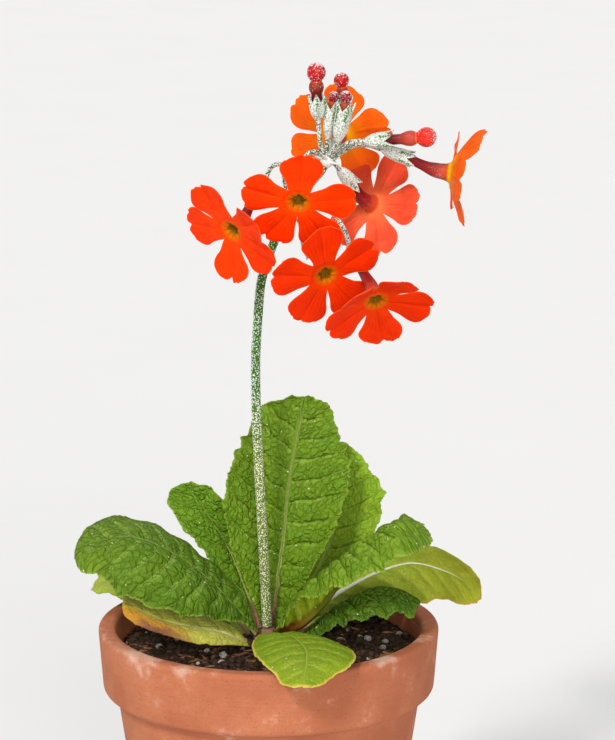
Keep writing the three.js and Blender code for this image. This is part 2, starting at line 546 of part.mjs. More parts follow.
// The limb of a flower in its own frame, facing +Z: a small funnel round the throat, and five
// lobes, each notched at its end
function limbGeometry(flower) {
  const columns = [-1, -0.5, 0, 0.5, 1];
  const rowPlaces = [0, 0.3, 0.6, 0.85, 1];
  const widths = [0.3, 0.5, 0.84, 1, 0.86];
  const ends = [0.86, 1, 1 - LOBE_NOTCH, 1, 0.86];
  const half = PETAL_THICKNESS / 2;
  const lobes = flower.lobes.length;
  const aims = flower.lobes.map(([turn]) => radians(turn));
  const between = (lobe) => {
    const next = (lobe + 1) % lobes;
    return (aims[lobe] + aims[next] + (next === 0 ? 2 * Math.PI : 0)) / 2;
  };
  const ringAngle = (lobe, column) => {
    const before = lobe === 0 ? between(lobes - 1) - 2 * Math.PI : between(lobe - 1);
    return THREE.MathUtils.lerp(before, between(lobe), (column + 1) / 2);
  };
  const points = [];
  const triangles = [];
  const add = (x, y, z) => points.push(new THREE.Vector3(x, y, z)) - 1;
  const faces = [half, -half].map((offset) => {
    const grids = [];
    const ring = [];
    for (let lobe = 0; lobe < lobes; lobe += 1) {
      const aim = aims[lobe];
      const lift = radians(flower.lobes[lobe][1]);
      const reach = flower.lobes[lobe][2] ?? LOBE_REACH;
      const grid = rowPlaces.map((place, row) => columns.map((column, index) => {
        if (row === 0) {
          const angle = ringAngle(lobe, column);
          return [EYE_RADIUS * Math.cos(angle), EYE_RADIUS * Math.sin(angle), offset];
        }
        const run = (reach - EYE_RADIUS) * place * (row === 1 ? 1 : ends[index]);
        const out = EYE_RADIUS + run * Math.cos(lift);
        const aside = column * LOBE_HALF_WIDTH * widths[row];
        const up = run * Math.sin(lift) + 0.7 * column * column * place - 0.5 * place;
        return [
          out * Math.cos(aim) - aside * Math.sin(aim),
          out * Math.sin(aim) + aside * Math.cos(aim),
          up + offset,
        ];
      }));
      grids.push(grid);
    }
    const indexed = grids.map((grid) => grid.map((row, r) => row.map((point, c) => {
      if (r === 0 && c === columns.length - 1) {
        return null;
      }
      return add(...point);
    })));
    for (let lobe = 0; lobe < lobes; lobe += 1) {
      indexed[lobe][0][columns.length - 1] = indexed[(lobe + 1) % lobes][0][0];
      ring.push(...indexed[lobe][0].slice(0, -1));
    }
    const funnel = [[2, -0.35], [1.25, -THROAT_DEPTH + 0.5]].map(([radius, depth]) => ring.map((_, side) => {
      const perLobe = columns.length - 1;
      const angle = ringAngle(Math.floor(side / perLobe), columns[side % perLobe]);
      const spread = radius + (offset < 0 ? half : -half) * 0.6;
      return add(spread * Math.cos(angle), spread * Math.sin(angle), depth + offset);
    }));
    return { indexed, rings: [ring, ...funnel], pole: add(0, 0, -THROAT_DEPTH + offset) };
  });
  const quad = (a, b, c, d, flip) => (flip
    ? triangles.push([a, c, b], [a, d, c])
    : triangles.push([a, b, c], [a, c, d]));
  faces.forEach(({ indexed, rings, pole }, face) => {
    const flip = face === 1;
    for (const grid of indexed) {
      for (let r = 0; r < grid.length - 1; r += 1) {
        for (let c = 0; c < columns.length - 1; c += 1) {
          quad(grid[r][c], grid[r + 1][c], grid[r + 1][c + 1], grid[r][c + 1], flip);
        }
      }
    }
    const sides = rings[0].length;
    for (let side = 0; side < sides; side += 1) {
      const next = (side + 1) % sides;
      for (let r = 0; r < rings.length - 1; r += 1) {
        quad(rings[r + 1][side], rings[r][side], rings[r][next], rings[r + 1][next], flip);
      }
      const inner = rings[rings.length - 1];
      triangles.push(flip ? [pole, inner[next], inner[side]] : [pole, inner[side], inner[next]]);
    }
  });
  for (let lobe = 0; lobe < lobes; lobe += 1) {
    const [top, bottom] = faces.map((face) => face.indexed[lobe]);
    const last = rowPlaces.length - 1;
    const right = columns.length - 1;
    for (let r = 0; r < last; r += 1) {
      quad(top[r][0], bottom[r][0], bottom[r + 1][0], top[r + 1][0], false);
      quad(top[r + 1][right], bottom[r + 1][right], bottom[r][right], top[r][right], false);
    }
    for (let c = 0; c < right; c += 1) {
      quad(top[last][c], bottom[last][c], bottom[last][c + 1], top[last][c + 1], false);
    }
  }
  return geometryFrom(points, triangles);
}

// The curved tube of a flower, from inside its calyx to just under the throat
function tubeGeometry(flower) {
  const base = vector(flower.calyx);
  const centre = vector(flower.centre);
  const face = direction(...flower.face);
  const axis = centre.clone().sub(base).normalize();
  const start = base.clone().addScaledVector(axis, 0.6 * CALYX_LENGTH);
  const end = centre.clone().addScaledVector(face, -THROAT_DEPTH - PETAL_THICKNESS / 2 - GAP);
  const handle = start.distanceTo(end) / 3;
  const curve = new THREE.CubicBezierCurve3(
    start,
    start.clone().addScaledVector(axis, handle),
    end.clone().addScaledVector(face, -handle),
    end,
  );
  const spread = TUBE_MOUTH_RADIUS - TUBE_FOOT_RADIUS;
  return stalk(curve, [0, 0, 0.1, 0.4, 0.8, 1].map((share) => TUBE_FOOT_RADIUS + spread * share), 8);
}

// A calyx: a ribbed cup with five pointed teeth round a socket for the tube
function calyxGeometry(base, axis, length, radius) {
  const side = new THREE.Vector3(0, 0, 1).cross(axis).normalize();
  const other = axis.clone().cross(side);
  const count = 2 * CALYX_TEETH;
  const mouth = CALYX_MOUTH_RADIUS * (radius / CALYX_RADIUS);
  const ringAt = (wide, high, tooth, flare) => Array.from({ length: count }, (_, step) => {
    const angle = (2 * Math.PI * step) / count;
    const point = step % 2 === 0;
    const out = wide + (point ? flare : 0);
    return base.clone()
      .addScaledVector(side, out * Math.cos(angle))
      .addScaledVector(other, out * Math.sin(angle))
      .addScaledVector(axis, high + (point ? tooth : 0));
  });
  const rings = [
    ringAt(0.4 * radius, 0, 0, 0.1),
    ringAt(0.85 * radius, 0.25 * length, 0, 0.15),
    ringAt(radius, 0.55 * length, 0, 0.15),
    ringAt(0.97 * radius, 0.7 * length, 0.3 * length, 0.2),
    ringAt(mouth, 0.69 * length, 0.24 * length, 0.1),
    ringAt(mouth, 0.5 * length, 0, 0),
  ];
  return ringSolid(
    base.clone().addScaledVector(axis, -0.3),
    rings,
    base.clone().addScaledVector(axis, 0.5 * length),
  );
}

// The scape with its whorls, bracts, stalks and calyces, grown together as one body
function scapeGeometry() {
  const stem = new THREE.CatmullRomCurve3(STEM_ROUTE.map(vector));
  const steps = 18;
  const radii = Array.from({ length: steps + 1 }, (_, step) => (
    THREE.MathUtils.lerp(STEM_FOOT_RADIUS, STEM_TOP_RADIUS, step / steps)
  ));
  const pieces = [stalk(stem, radii, 8)];
  for (const whorl of BRACTS) {
    const knot = new THREE.SphereGeometry(1.7, 8, 6);
    knot.translate(...whorl.whorl);
    pieces.push(knot);
    for (const [azimuth, elevation] of whorl.aims) {
      const aim = direction(azimuth, elevation);
      const start = vector(whorl.whorl);
      const bract = new THREE.LineCurve3(start, start.clone().addScaledVector(aim, BRACT_LENGTH));
      pieces.push(stalk(bract, [0.8, 0.75, 0.25], 5));
    }
  }
  const sprays = [];
  for (const flower of Object.values(FLOWERS)) {
    const base = vector(flower.calyx);
    sprays.push({ base, axis: vector(flower.centre).sub(base).normalize(), route: flower.stalk,
      length: CALYX_LENGTH, radius: CALYX_RADIUS });
  }
  for (const bud of Object.values(BUDS)) {
    const base = vector(bud.calyx);
    const reach = vector(bud.mouth).sub(base);
    sprays.push({ base, axis: reach.clone().normalize(), route: bud.stalk,
      length: reach.length() / 0.9, radius: Math.min(CALYX_RADIUS, 0.8 * bud.head_radius + 0.25) });
  }
  for (const spray of sprays) {
    const sunk = spray.base.clone().addScaledVector(spray.axis, 0.8);
    const route = new THREE.CatmullRomCurve3([...spray.route.map(vector), sunk]);
    pieces.push(stalk(route, Array(7).fill(PEDICEL_RADIUS), 6));
    pieces.push(calyxGeometry(spray.base, spray.axis, spray.length, spray.radius));
  }
  return geometryOf(pieces.map(solidFrom).reduce((whole, piece) => whole.add(piece)));
}

// A bud: its neck stands in the calyx, swells, and ends in a round head
function budGeometry(bud) {
  const base = vector(bud.calyx);
  const mouth = vector(bud.mouth);
  const head = vector(bud.head);
  const length = mouth.distanceTo(base) / 0.9;
  const aim = head.clone().sub(mouth).normalize();
  const start = base.clone().addScaledVector(mouth.clone().sub(base).normalize(), 0.5 * length + GAP);
  const end = head.clone().addScaledVector(aim, bud.head_radius);
  const curve = new THREE.CatmullRomCurve3([start, mouth, head, end]);
  const neck = (CALYX_MOUTH_RADIUS * Math.min(CALYX_RADIUS, 0.8 * bud.head_radius + 0.25)) / CALYX_RADIUS - GAP;
  const whole = curve.getLength();
  const steps = 12;
  const radii = Array.from({ length: steps + 1 }, (_, step) => {
    const left = whole * (1 - step / steps);
    const fromHead = left - bud.head_radius;
    const inHead = bud.head_radius ** 2 - fromHead ** 2;
    const inSwelling = bud.swelling ** 2 - (fromHead - bud.head_radius - 0.7 * bud.swelling) ** 2;
    return Math.max(neck, Math.sqrt(Math.max(inHead, 0)), Math.sqrt(Math.max(inSwelling, 0)));
  });
  radii[steps] = 0.25 * bud.head_radius;
  return stalk(curve, radii, 8);
}

const colours = {
  clay: { color: 0xb5653f, roughness: 0.9 },
  compost: { color: 0x2e221a, roughness: 1 },
  crown: { color: 0x9a6a55, roughness: 0.8 },
  leaf: { color: 0x6b9a32, roughness: 0.6 },
  scape: { color: 0xc4d4b8, roughness: 0.8 },
  petal: { color: 0xff4208, roughness: 0.5 },
  tube: { color: 0x8e1a1c, roughness: 0.6 },
};

const materials = Object.fromEntries(Object.entries(colours).map(([name, look]) => (
  [name, new THREE.MeshStandardMaterial({ ...look, metalness: 0 })]
)));

function meshOf(name, geometry, material) {
  const mesh = new THREE.Mesh(geometry, materials[material]);
  mesh.name = name;
  return mesh;
}

const primrose = new THREE.Group();
primrose.add(meshOf('pot', potGeometry(), 'clay'));
primrose.add(meshOf('compost', compostGeometry(), 'compost'));

const plant = new THREE.Group();
plant.position.z = CROWN_HEIGHT;
primrose.add(plant);
plant.add(meshOf('crown', crownGeometry(), 'crown'));
plant.add(meshOf('scape', scapeGeometry(), 'scape'));

for (const [name, leaf] of Object.entries(LEAVES)) {
  plant.add(meshOf(name, leafGeometry(leaf), 'leaf'));
}

for (const [name, flower] of Object.entries(FLOWERS)) {
  const limb = meshOf(`${name}_limb`, limbGeometry(flower), 'petal');
  const face = direction(...flower.face);
  const level = new THREE.Vector3(0, 0, 1).cross(face).normalize();
  const frame = new THREE.Matrix4().makeBasis(level, face.clone().cross(level), face);
  limb.quaternion.setFromRotationMatrix(frame);
  limb.position.set(...flower.centre);
  plant.add(limb);
  plant.add(meshOf(`${name}_tube`, tubeGeometry(flower), 'tube'));
}

for (const [name, bud] of Object.entries(BUDS)) {
  plant.add(meshOf(name, budGeometry(bud), 'tube'));
}

export default primrose;
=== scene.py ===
# %% [markdown]
# ## A candelabra primrose in a clay pot
# The real thing is a small plant: a rosette of crinkled leaves, one stem white with meal, and
# two whorls of orange flowers under a tuft of buds. It is built here over a fixed frame of
# plain solids. Each solid keeps its place, and a finer piece is made to stand for it.
# Everything is drawn in millimetres and turned into metres when a mesh is made.

# %% Load the frame
import math

import bmesh
import bpy
import numpy as np
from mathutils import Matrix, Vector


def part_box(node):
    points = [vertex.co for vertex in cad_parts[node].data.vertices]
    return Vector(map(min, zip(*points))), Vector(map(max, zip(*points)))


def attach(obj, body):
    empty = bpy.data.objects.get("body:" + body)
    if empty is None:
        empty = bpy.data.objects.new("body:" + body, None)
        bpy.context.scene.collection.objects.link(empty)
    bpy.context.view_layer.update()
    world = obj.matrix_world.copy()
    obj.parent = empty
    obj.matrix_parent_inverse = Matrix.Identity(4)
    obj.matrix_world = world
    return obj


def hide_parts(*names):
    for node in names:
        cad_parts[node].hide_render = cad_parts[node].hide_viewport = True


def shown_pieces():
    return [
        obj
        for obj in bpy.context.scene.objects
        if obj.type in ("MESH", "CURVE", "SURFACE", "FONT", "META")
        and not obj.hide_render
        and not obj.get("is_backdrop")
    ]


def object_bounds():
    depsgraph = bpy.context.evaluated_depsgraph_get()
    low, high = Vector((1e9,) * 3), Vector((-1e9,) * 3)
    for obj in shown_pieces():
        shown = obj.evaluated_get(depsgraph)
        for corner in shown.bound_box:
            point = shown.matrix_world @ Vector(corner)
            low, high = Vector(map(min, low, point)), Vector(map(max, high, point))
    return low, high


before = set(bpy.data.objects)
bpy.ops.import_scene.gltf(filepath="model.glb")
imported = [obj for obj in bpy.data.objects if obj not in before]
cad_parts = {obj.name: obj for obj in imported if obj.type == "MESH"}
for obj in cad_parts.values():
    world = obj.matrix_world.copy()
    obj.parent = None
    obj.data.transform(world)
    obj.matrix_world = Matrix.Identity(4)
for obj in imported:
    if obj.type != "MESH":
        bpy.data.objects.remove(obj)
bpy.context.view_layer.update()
MILLIMETRE = 0.001

crown_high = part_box("crown")[1]
CROWN_RISE = 1.2
CROWN = np.array([0, 0, crown_high.z / MILLIMETRE - CROWN_RISE])
print("nodes", len(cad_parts), "crown height", round(float(CROWN[2]), 2), "mm")

# %% [markdown]
# ## The camera
# The photograph looks down on the plant by a few degrees, from near by. A point on the flower
# stem sits in the middle of the picture, and the lens is worked out from the size of a pixel.

# %% Camera
PICTURE_HEIGHT = 740
CAMERA_DISTANCE = 750
CAMERA_DOWN = math.radians(12)
PIXEL = 0.26
AIM = np.array([10.3, 0, 155])
SENSOR = 36

look = np.array([0, math.cos(CAMERA_DOWN), -math.sin(CAMERA_DOWN)])
camera_data = bpy.data.cameras.new("camera")
camera_data.sensor_width = SENSOR
camera_data.lens = SENSOR * CAMERA_DISTANCE / (PIXEL * PICTURE_HEIGHT)
camera_data.clip_start = 0.01
camera = bpy.data.objects.new("camera", camera_data)
camera.location = (AIM - CAMERA_DISTANCE * look) * MILLIMETRE
camera.rotation_euler = (math.pi / 2 - CAMERA_DOWN, 0, 0)
bpy.context.scene.collection.objects.link(camera)
bpy.context.scene.camera = camera
print("lens", round(camera_data.lens, 1), "mm")

# %% [markdown]
# ## Curves and noise
# Leaves and stalks follow smooth curves through a few points. Wrinkles need numbers that look
# random but come out the same each time, so they are made from sines.

# %% Curves
def unit(vectors):
    """Vectors of length one."""
    vectors = np.asarray(vectors, float)
    length = np.linalg.norm(vectors, axis=-1, keepdims=True)
    return vectors / np.maximum(length, 1e-9)


def direction(azimuth, elevation):
    """The unit vector that points that way, in degrees."""
    turn = math.radians(azimuth)
    up = math.radians(elevation)
    flat = math.cos(up)
    return np.array([flat * math.cos(turn), flat * math.sin(turn), math.sin(up)])


def curve_at(points, places):
    """Places from 0 to 1 on a smooth curve through the points (centripetal Catmull-Rom)."""
    points = np.asarray(points, float)
    last = len(points) - 1
    along = np.clip(np.asarray(places, float), 0, 1) * last
    start = np.minimum(along.astype(int), last - 1)
    step = (along - start)[:, None]
    padded = np.vstack([2 * points[0] - points[1], points, 2 * points[-1] - points[-2]])
    a, b, c, d = (padded[start + shift] for shift in range(4))
    before, here, after = (
        np.sqrt(np.linalg.norm(far - near, axis=1))[:, None] for near, far in ((a, b), (b, c), (c, d))
    )
    leave = ((b - a) / before - (c - a) / (before + here) + (c - b) / here) * here
    arrive = ((c - b) / here - (d - b) / (here + after) + (d - c) / after) * here
    square = -3 * b + 3 * c - 2 * leave - arrive
    cube = 2 * b - 2 * c + leave + arrive
    return b + leave * step + square * step**2 + cube * step**3


def heading_at(points, places):
    """The direction in which the curve runs at each place."""
    nudge = 1e-3
    places = np.asarray(places, float)
    ahead = curve_at(points, np.minimum(places + nudge, 1))
    behind = curve_at(points, np.maximum(places - nudge, 0))
    return unit(ahead - behind)


def length_along(points):
    """Distance from the first point to each point."""
    steps = np.linalg.norm(np.diff(points, axis=0), axis=1)
    return np.concatenate([[0], np.cumsum(steps)])


def smooth_step(value, low, high, start=0, end=1):
    """start below low, end above high and soft between."""
    share = np.clip((np.asarray(value, float) - low) / (high - low), 0, 1)
    return start + (end - start) * (share * share * (3 - 2 * share))


def hump(distance, half_width):
    """1 at no distance, and soon 0 beyond the half width."""
    return np.exp(-((distance / half_width) ** 2))


def through(value, places, heights):
    """A smooth line through a few places and heights."""
    points = np.stack([np.asarray(places, float), np.asarray(heights, float)], axis=1)
    samples = curve_at(points, np.linspace(0, 1, 200))
    return np.interp(value, samples[:, 0], samples[:, 1])


def scatter(a, b, seed):
    """A number from 0 to 1 for each pair of whole numbers, the same every time."""
    value = np.sin(a * 127.1 + b * 311.7 + seed * 74.7) * 43758.5453
    return value - np.floor(value)


def ripple(x, y, seed):
    """Soft waves between -1 and 1, with no seam and no pattern to the eye."""
    return (
        np.sin(1.7 * x + 0.9 * y + seed)
        + np.sin(-1.1 * x + 2.3 * y + 2.1 * seed)
        + np.sin(2.9 * x - 1.3 * y + 3.7 * seed)
    ) / 3


def around(sides):
    """The angles of the corners of a ring."""
    return np.linspace(0, 2 * math.pi, sides, endpoint=False)


def ring_at(radius, height, turn):
    """Points round the upright axis, at these angles."""
    return np.stack([radius * np.cos(turn), radius * np.sin(turn), height + 0 * turn], axis=-1)


print("a point on a curve", np.round(curve_at([[0, 0], [1, 1], [2, 0]], [0.25])[0], 3).tolist())

# %% [markdown]
# ## Meshes from grids
# A blade, a petal and a stalk are all grids of points that are bent in space. One helper
# gathers such grids into a piece, gives each its finish, and ties the piece to the frame.
# Values that a finish needs, such as the distance to the edge of a leaf, go along with the
# points.

# %% Meshes
class Shells:
    """Grids of points that together make one piece."""

    def __init__(self):
        self.points = []
        self.faces = []
        self.finish = []
        self.values = {}
        self.count = 0

    def add(self, points, faces, finish=0, **values):
        """Adds points with faces that count from this shell's first point."""
        points = np.asarray(points, float).reshape(-1, 3)
        self.points.append(points)
        self.faces += [[corner + self.count for corner in face] for face in faces]
        self.finish += list(finish) if np.ndim(finish) else [finish] * len(faces)
        for name, numbers in values.items():
            numbers = np.broadcast_to(np.asarray(numbers, float).reshape(-1, 3), points.shape)
            self.values.setdefault(name, []).append(numbers)
        self.count += len(points)

    def piece(self, name, finishes, slot, stands_for, crease=50, weld=0):
        """Makes the object, in metres, and ties it to the frame."""
        mesh = bpy.data.meshes.new(name)
        points = np.vstack(self.points)
        mesh.from_pydata((points * MILLIMETRE).tolist(), [], self.faces)
        for finish in finishes:
            mesh.materials.append(finish)
        mesh.polygons.foreach_set("material_index", self.finish)
        for title, numbers in self.values.items():
            layer = mesh.attributes.new(title, "FLOAT_VECTOR", "POINT")
            layer.data.foreach_set("vector", np.vstack(numbers).astype(np.float32).ravel())
        mesh.update()
        if weld:
            joined = bmesh.new()
            joined.from_mesh(mesh)
            bmesh.ops.remove_doubles(joined, verts=joined.verts, dist=weld * MILLIMETRE)
            joined.to_mesh(mesh)
            joined.free()
        mesh.shade_smooth()
        mesh.set_sharp_from_angle(angle=math.radians(crease))
        made = bpy.data.objects.new(name, mesh)
        bpy.context.scene.collection.objects.link(made)
        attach(made, "root")
        if stands_for:
            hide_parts(*stands_for)
        return made


def grid_faces(rows, columns, turned=False, wrapped=False):
    """Four-sided faces over a grid, whose columns may close into a ring."""
    faces = []
    for row in range(rows - 1):
        for column in range(columns if wrapped else columns - 1):
            beside = (column + 1) % columns
            face = [
                row * columns + column,
                row * columns + beside,
                (row + 1) * columns + beside,
                (row + 1) * columns + column,
            ]
            faces.append(face[::-1] if turned else face)
    return faces


def blade_shell(shells, upper, lower, finishes=(0, 1, 0), joined=0, **values):
    """A thin blade from its upper and lower grids, closed round its edge. The sides of its
    first joined rows stay open, because a neighbour goes on there."""
    rows, columns = upper.shape[:2]
    below = rows * columns
    faces = grid_faces(rows, columns)
    finish = [finishes[0]] * len(faces)
    under = [[corner + below for corner in face] for face in grid_faces(rows, columns, turned=True)]
    finish += [finishes[1]] * len(under)
    faces += under
    border = [row * columns for row in range(rows)]
    border += [(rows - 1) * columns + column for column in range(1, columns)]
    border += [row * columns + columns - 1 for row in range(rows - 2, -1, -1)]
    border += [column for column in range(columns - 2, 0, -1)]
    for here, there in zip(border, border[1:] + border[:1]):
        on_side = here % columns == there % columns
        if on_side and max(here, there) // columns <= joined:
            continue
        faces.append([here, there, there + below, here + below])
        finish.append(finishes[2])
    points = np.concatenate([upper.reshape(-1, 3), lower.reshape(-1, 3)])
    both = {name: np.concatenate([np.reshape(v, (-1, 3))] * 2) for name, v in values.items()}
    shells.add(points, faces, finish, **both)


def sheet_normals(sheet):
    """Unit normals of a grid, on the side where its columns turn left into its rows."""
    along = np.gradient(sheet, axis=0)
    across = np.gradient(sheet, axis=1)
    return unit(np.cross(across, along))


def rings_shell(shells, rings, finish=0, **values):
    """A closed skin over rings of points, with a cap on each end."""
    rows, sides = rings.shape[:2]
    faces = grid_faces(rows, sides, wrapped=True)
    faces.append(list(range(sides))[::-1])
    faces.append([(rows - 1) * sides + side for side in range(sides)])
    shells.add(rings, faces, finish, **values)


def carry(points, *three):
    """Three values for each point of a grid."""
    return np.stack([np.broadcast_to(value, points.shape[:2]) for value in three], axis=-1)


def steady_frames(route):
    """Two directions across a route that turn no more than the route does."""
    heading = unit(np.gradient(route, axis=0))
    start = np.array([0, 0, 1.0]) if abs(heading[0][2]) < 0.9 else np.array([1.0, 0, 0])
    side = unit(np.cross(start, heading[0]))
    sides = []
    for ahead in heading:
        side = unit(side - ahead * side.dot(ahead))
        sides.append(side)
    sides = np.array(sides)
    return sides, np.cross(heading, sides)


def stalk_rings(route, radii, sides):
    """Rings round a route. radii is one number a ring, or one for each point of each ring."""
    first, second = steady_frames(route)
    turn = around(sides)
    radii = np.asarray(radii, float)
    radii = radii[:, None] if radii.ndim == 1 else radii
    out = first[:, None] * np.cos(turn)[None, :, None] + second[:, None] * np.sin(turn)[None, :, None]
    return route[:, None] + out * (radii * np.ones(sides))[..., None]


print("mesh helpers ready")

# %% [markdown]
# ## Helpers for finishes
# A finish is a small network of nodes. What comes out of a node is wrapped in a value, so that
# sums of values are written like sums of numbers. Colours are given as they look on a screen,
# from 0 to 255, and are turned into the numbers of light that Blender works with.

# %% Values and nodes
def screen(red, green, blue):
    """A screen colour as linear light."""
    light = []
    for level in (red, green, blue):
        share = level / 255
        light.append(share / 12.92 if share <= 0.04045 else ((share + 0.055) / 1.055) ** 2.4)
    return (*light, 1.0)


def feed(socket, value):
    """Links a socket to a value that comes from a node, or sets it. Three plain numbers for a
    colour are a screen colour, and four are linear light."""
    if isinstance(value, Value):
        value.tree.links.new(value.socket, socket)
    elif value is not None:
        on_screen = socket.type == "RGBA" and len(value) == 3
        socket.default_value = screen(*value) if on_screen else value


def put(tree, kind, *values, **settings):
    """Places a node, sets its properties and feeds its inputs in their order."""
    node = tree.nodes.new("ShaderNode" + kind)
    for name, value in settings.items():
        setattr(node, name, value)
    for socket, value in zip(node.inputs, values):
        feed(socket, value)
    return node


def mix(tree, share, first, second, mode="MIX"):
    """Mixes two colours."""
    node = tree.nodes.new("ShaderNodeMix")
    node.data_type = "RGBA"
    node.blend_type = mode
    for name, value in (("Factor", share), ("A", first), ("B", second)):
        feed(node.inputs[name], value)
    return Value(node.outputs["Result"])


class Value:
    """What comes out of a node. Each sum with it is one more node in the same tree."""

    def __init__(self, socket):
        self.socket = socket
        self.tree = socket.id_data

    def sum(self, operation, *others):
        """One step of arithmetic."""
        return Value(put(self.tree, "Math", self, *others, operation=operation).outputs[0])

    def __add__(self, other):
        return self.sum("ADD", other)

    def __sub__(self, other):
        return self.sum("SUBTRACT", other)

    def __rsub__(self, other):
        return Value(put(self.tree, "Math", other, self, operation="SUBTRACT").outputs[0])

    def __mul__(self, other):
        return self.sum("MULTIPLY", other)

    def __truediv__(self, other):
        return self.sum("DIVIDE", other)

    def __abs__(self):
        return self.sum("ABSOLUTE")

    def soft(self, low, high, start=0.0, end=1.0):
        """start below low, end above high and soft between."""
        node = put(self.tree, "MapRange", self, low, high, start, end, interpolation_type="SMOOTHSTEP")
        return Value(node.outputs["Result"])

    def between(self, first, second):
        """The first colour where this value is 0, and the second where it is 1."""
        return mix(self.tree, self, first, second)

    def tinted(self, tint):
        """This colour times another."""
        return mix(self.tree, 1.0, self, tint, "MULTIPLY")

    def parts(self):
        """The three numbers of a place or a colour."""
        return [Value(socket) for socket in put(self.tree, "SeparateXYZ", self).outputs]

    def stretched(self, shares, start=(0, 0, 0)):
        """A place times three numbers, counted from a start."""
        return Value(put(self.tree, "VectorMath", self, shares, start, operation="MULTIPLY_ADD").outputs[0])


print("values ready")


# %% Patterns and places
def carried(tree, name):
    """The three numbers that a mesh carries under this name."""
    return Value(put(tree, "Attribute", attribute_name=name).outputs["Vector"]).parts()


def place_in(tree):
    """The place on the object, in millimetres."""
    return Value(put(tree, "TexCoord").outputs["Object"]).stretched((1 / MILLIMETRE,) * 3)


def noise(where, scale, detail=2.0, roughness=0.5, output=0):
    """Soft noise from 0 to 1."""
    return Value(put(where.tree, "TexNoise", where, None, scale, detail, roughness).outputs[output])


def spots(where, scale):
    """The distance to the nearest of many scattered points, and a number drawn for that point."""
    node = put(where.tree, "TexVoronoi", where, None, scale)
    return Value(node.outputs["Distance"]), Value(node.outputs["Color"]).parts()[0]


def borders(where, scale):
    """The distance to the nearest border between scattered cells."""
    node = put(where.tree, "TexVoronoi", where, None, scale, feature="DISTANCE_TO_EDGE")
    return Value(node.outputs["Distance"])


def sideways(tree, reach):
    """How much a point is turned away from the viewer."""
    return Value(put(tree, "LayerWeight", reach).outputs["Facing"])


def effect(name, inputs, outputs):
    """An empty node group. Three numbers from 0 to 255 make an input that is a colour."""
    group = bpy.data.node_groups.new(name, "ShaderNodeTree")
    for title, value in inputs.items():
        colour = isinstance(value, tuple)
        kind = "NodeSocketColor" if colour else "NodeSocketFloat"
        socket = group.interface.new_socket(name=title, in_out="INPUT", socket_type=kind)
        socket.default_value = screen(*value) if colour else value
    for title in outputs:
        kind = "NodeSocketColor" if title == "Color" else "NodeSocketFloat"
        group.interface.new_socket(name=title, in_out="OUTPUT", socket_type=kind)
    start = group.nodes.new("NodeGroupInput")
    end = group.nodes.new("NodeGroupOutput")
    return group, {socket.name: Value(socket) for socket in start.outputs}, end.inputs


def use(tree, group, **values):
    """Places an effect in a finish, and gives what comes out of it."""
    node = tree.nodes.new("ShaderNodeGroup")
    node.node_tree = group
    for name, value in values.items():
        feed(node.inputs[name], value)
    return {socket.name: Value(socket) for socket in node.outputs}


print("patterns ready")


# %% Finishes
def finish(name, roughness=0.5, specular=0.5, soft=0.0, reach=0.001):
    """A new material with its main shader, ready for nodes."""
    material = bpy.data.materials.new(name)
    material.use_nodes = True
    tree = material.node_tree
    shader = tree.nodes["Principled BSDF"]
    shader.inputs["Roughness"].default_value = roughness
    shader.inputs["Specular IOR Level"].default_value = specular
    shader.inputs["Subsurface Weight"].default_value = soft
    shader.inputs["Subsurface Scale"].default_value = reach
    return material, tree, shader


def paint(shader, colour, height=None, distance=1.0, roughness=None):
    """Feeds a shader its colour, its roughness and a height, in millimetres."""
    feed(shader.inputs["Base Color"], colour)
    feed(shader.inputs["Roughness"], roughness)
    if height is not None:
        bump = put(height.tree, "Bump")
        feed(bump.inputs["Height"], height)
        bump.inputs["Distance"].default_value = distance * MILLIMETRE
        bump.inputs["Strength"].default_value = 1.0
        feed(shader.inputs["Normal"], Value(bump.outputs["Normal"]))


def skinned(name, group, looks, **settings):
    """A finish that takes its colour, roughness and height from an effect."""
    material, tree, shader = finish(name, **settings)
    skin = use(tree, group, **looks)
    paint(shader, skin["Color"], skin["Height"], roughness=skin["Roughness"])
    return material


print("finish helpers ready")

# %% [markdown]
# ## Meal
# The stem, the flower stalks, the calyces and the buds of this primrose are dusted with a
# white wax that botanists call farina. It lies in small round grains, closer together in some
# patches than in others. Each grain is a cell of a Voronoi pattern, filled out to a reach: the
# more meal there is, the larger the reach, until the grains run together.

# %% The meal effect
meal, meal_in, meal_out = effect(
    "meal",
    {"Amount": 0.5, "Grain": 3.0, "Patches": 0.6, "Unevenness": 0.6},
    ["Mask", "Height"],
)
where = place_in(meal)
distance, drawn = spots(where, meal_in["Grain"])
patches = noise(where, meal_in["Patches"], 3.0, 0.6)
reach = (patches - 0.5) * meal_in["Unevenness"] + (drawn * 0.16 - 0.08) + meal_in["Amount"]
mask = (reach - distance).soft(-0.05, 0.07)
feed(meal_out["Mask"], mask)
feed(meal_out["Height"], mask * (drawn + 0.5))
print("effect", meal.name)

# %% [markdown]
# ## Leaf skin
# A leaf is not one green. The rib is pale and may be pink at its foot, the edge is yellow, and
# old leaves turn yellow and brown from the edge. The creases between the pillows and the grooves
# of the side veins get painted shade, and a strip beside each side vein gets a painted highlight.
# The mesh carries the distance along the rib, across it and to the edge, and this effect turns
# them into colour, gloss and fine relief.

# %% The leaf effect
NET_BEND = 1.2
MESH_FINENESS = 1.15

